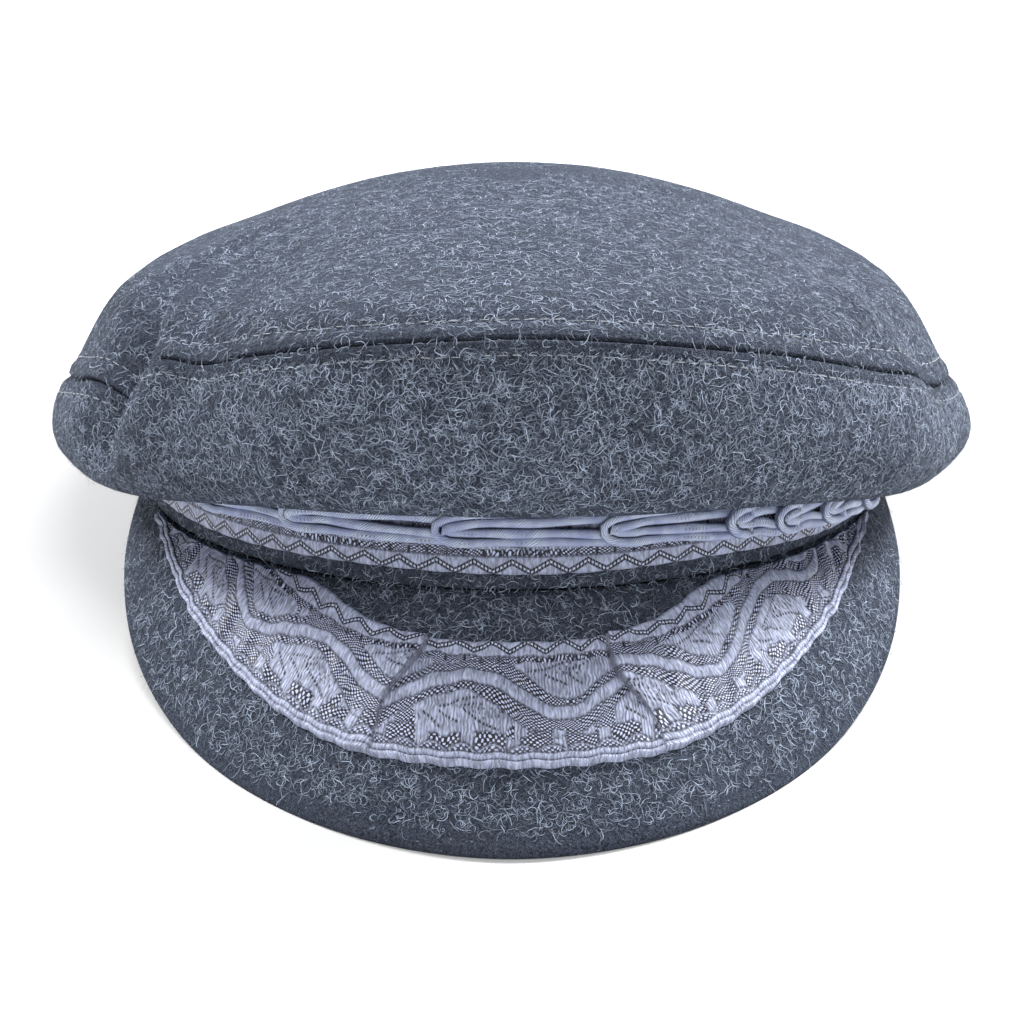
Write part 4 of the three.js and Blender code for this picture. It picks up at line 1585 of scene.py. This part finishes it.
# Studio lights: name, place, aim and size in metres, and power in watts.
LIGHTS = [
    ("left_key", (-1.15, 0.75, 0.95), (0, 0, 0.05), (0.45, 0.45), 35),
    ("right_key", (1.1, 0.75, 1.0), (0, 0, 0.05), (0.45, 0.45), 50),
    ("front_high", (0.1, -0.7, 1.5), (0, 0, 0.03), (0.7, 0.6), 12),
    ("front_low", (0, -1.6, 0.3), (0, 0, 0.02), (1.2, 0.4), 4),
]
ROOM_COLOUR = (0.95, 0.97, 1, 1)
ROOM_LIGHT = 0.14
FLOOR_HALF = 20.0


def area_light(name, place, aim, size, power):
    data = bpy.data.lights.new(name, "AREA")
    data.shape = "RECTANGLE"
    data.size, data.size_y = size
    data.energy = power
    light = placed(name, data)
    light.location = place
    light.rotation_euler = (Vector(aim) - Vector(place)).to_track_quat("-Z", "Y").to_euler()


class CAP_OT_stage(Operator):
    """Set the camera, the soft studio light and the pale floor"""

    bl_idname = "cap.stage"
    bl_label = "Stage"

    def execute(self, context):
        scene = context.scene
        lean = tilt()
        rise = radians(CAMERA_RISE) - lean
        ahead = np.array([0, cos(rise), -sin(rise)])
        up = np.array([0, sin(rise), cos(rise)])
        spot = -CAMERA_AWAY / MM * ahead - AIM_LOW * up
        turn = np.array([[1, 0, 0], [0, cos(lean), sin(lean)], [0, -sin(lean), cos(lean)]])
        head = np.array([0, 0, mm("band_height")])
        origin = to_floor(head) - turn @ head * MM
        data = bpy.data.cameras.new("Camera")
        data.sensor_width = SENSOR
        data.lens = SENSOR * FOCAL_PIXELS / FRAME_PIXELS
        data.clip_start = 0.05
        data.clip_end = 50
        camera = placed("Camera", data)
        camera.location = Vector(turn @ spot * MM + origin)
        camera.rotation_euler = Vector(turn @ ahead).to_track_quat("-Z", "Y").to_euler()
        scene.camera = camera

        for light in LIGHTS:
            area_light(*light)
        world = bpy.data.worlds.new("Studio")
        world.use_nodes = True
        room = world.node_tree.nodes["Background"].inputs
        room[0].default_value = ROOM_COLOUR
        room[1].default_value = ROOM_LIGHT
        scene.world = world
        scene.view_settings.view_transform = "Standard"

        bm = bmesh.new()
        bmesh.ops.create_grid(bm, x_segments=1, y_segments=1, size=FLOOR_HALF)
        floor = placed("floor", kept_mesh(bm, bpy.data.meshes.new("floor")))
        nodes = Nodes("pale_floor")
        cloudy = nodes.noise(nodes.object_mm(), 0.004, detail=2.0)
        tone = scene.cap_colours.floor
        pale = nodes.mix(cloudy, rgba(tone, 0.99), rgba(tone, 1.01))
        floor.data.materials.append(nodes.finish(pale, None, roughness=0.9))
        return {"FINISHED"}


class CAP_PT_panel(Panel):
    """Sizes, colours and steps of the cap"""

    bl_idname = "CAP_PT_panel"
    bl_label = "Fisherman's cap"
    bl_space_type = "VIEW_3D"
    bl_region_type = "UI"
    bl_category = "Cap"

    def draw(self, context):
        for group in (context.scene.cap_sizes, context.scene.cap_colours, context.scene.cap_detail):
            box = self.layout.box()
            for key in group.__annotations__:
                box.prop(group, key)
        for step in STEPS:
            self.layout.operator(step.bl_idname)


STEPS = (
    CAP_OT_stage,
    CAP_OT_crown,
    CAP_OT_topstitch,
    CAP_OT_band,
    CAP_OT_band_ribbon,
    CAP_OT_braid,
    CAP_OT_visor,
    CAP_OT_visor_trim,
    CAP_OT_fibres,
)
CLASSES = (CapSizes, CapColours, CapDetail, *STEPS, CAP_PT_panel)


def register():
    for cls in CLASSES:
        bpy.utils.register_class(cls)
    bpy.types.Scene.cap_sizes = PointerProperty(type=CapSizes)
    bpy.types.Scene.cap_colours = PointerProperty(type=CapColours)
    bpy.types.Scene.cap_detail = PointerProperty(type=CapDetail)


def unregister():
    del bpy.types.Scene.cap_detail
    del bpy.types.Scene.cap_colours
    del bpy.types.Scene.cap_sizes
    for cls in reversed(CLASSES):
        bpy.utils.unregister_class(cls)


def main():
    register()
    for step in STEPS:
        group, name = step.bl_idname.split(".")
        getattr(getattr(bpy.ops, group), name)()


if __name__ == "__main__":
    main()
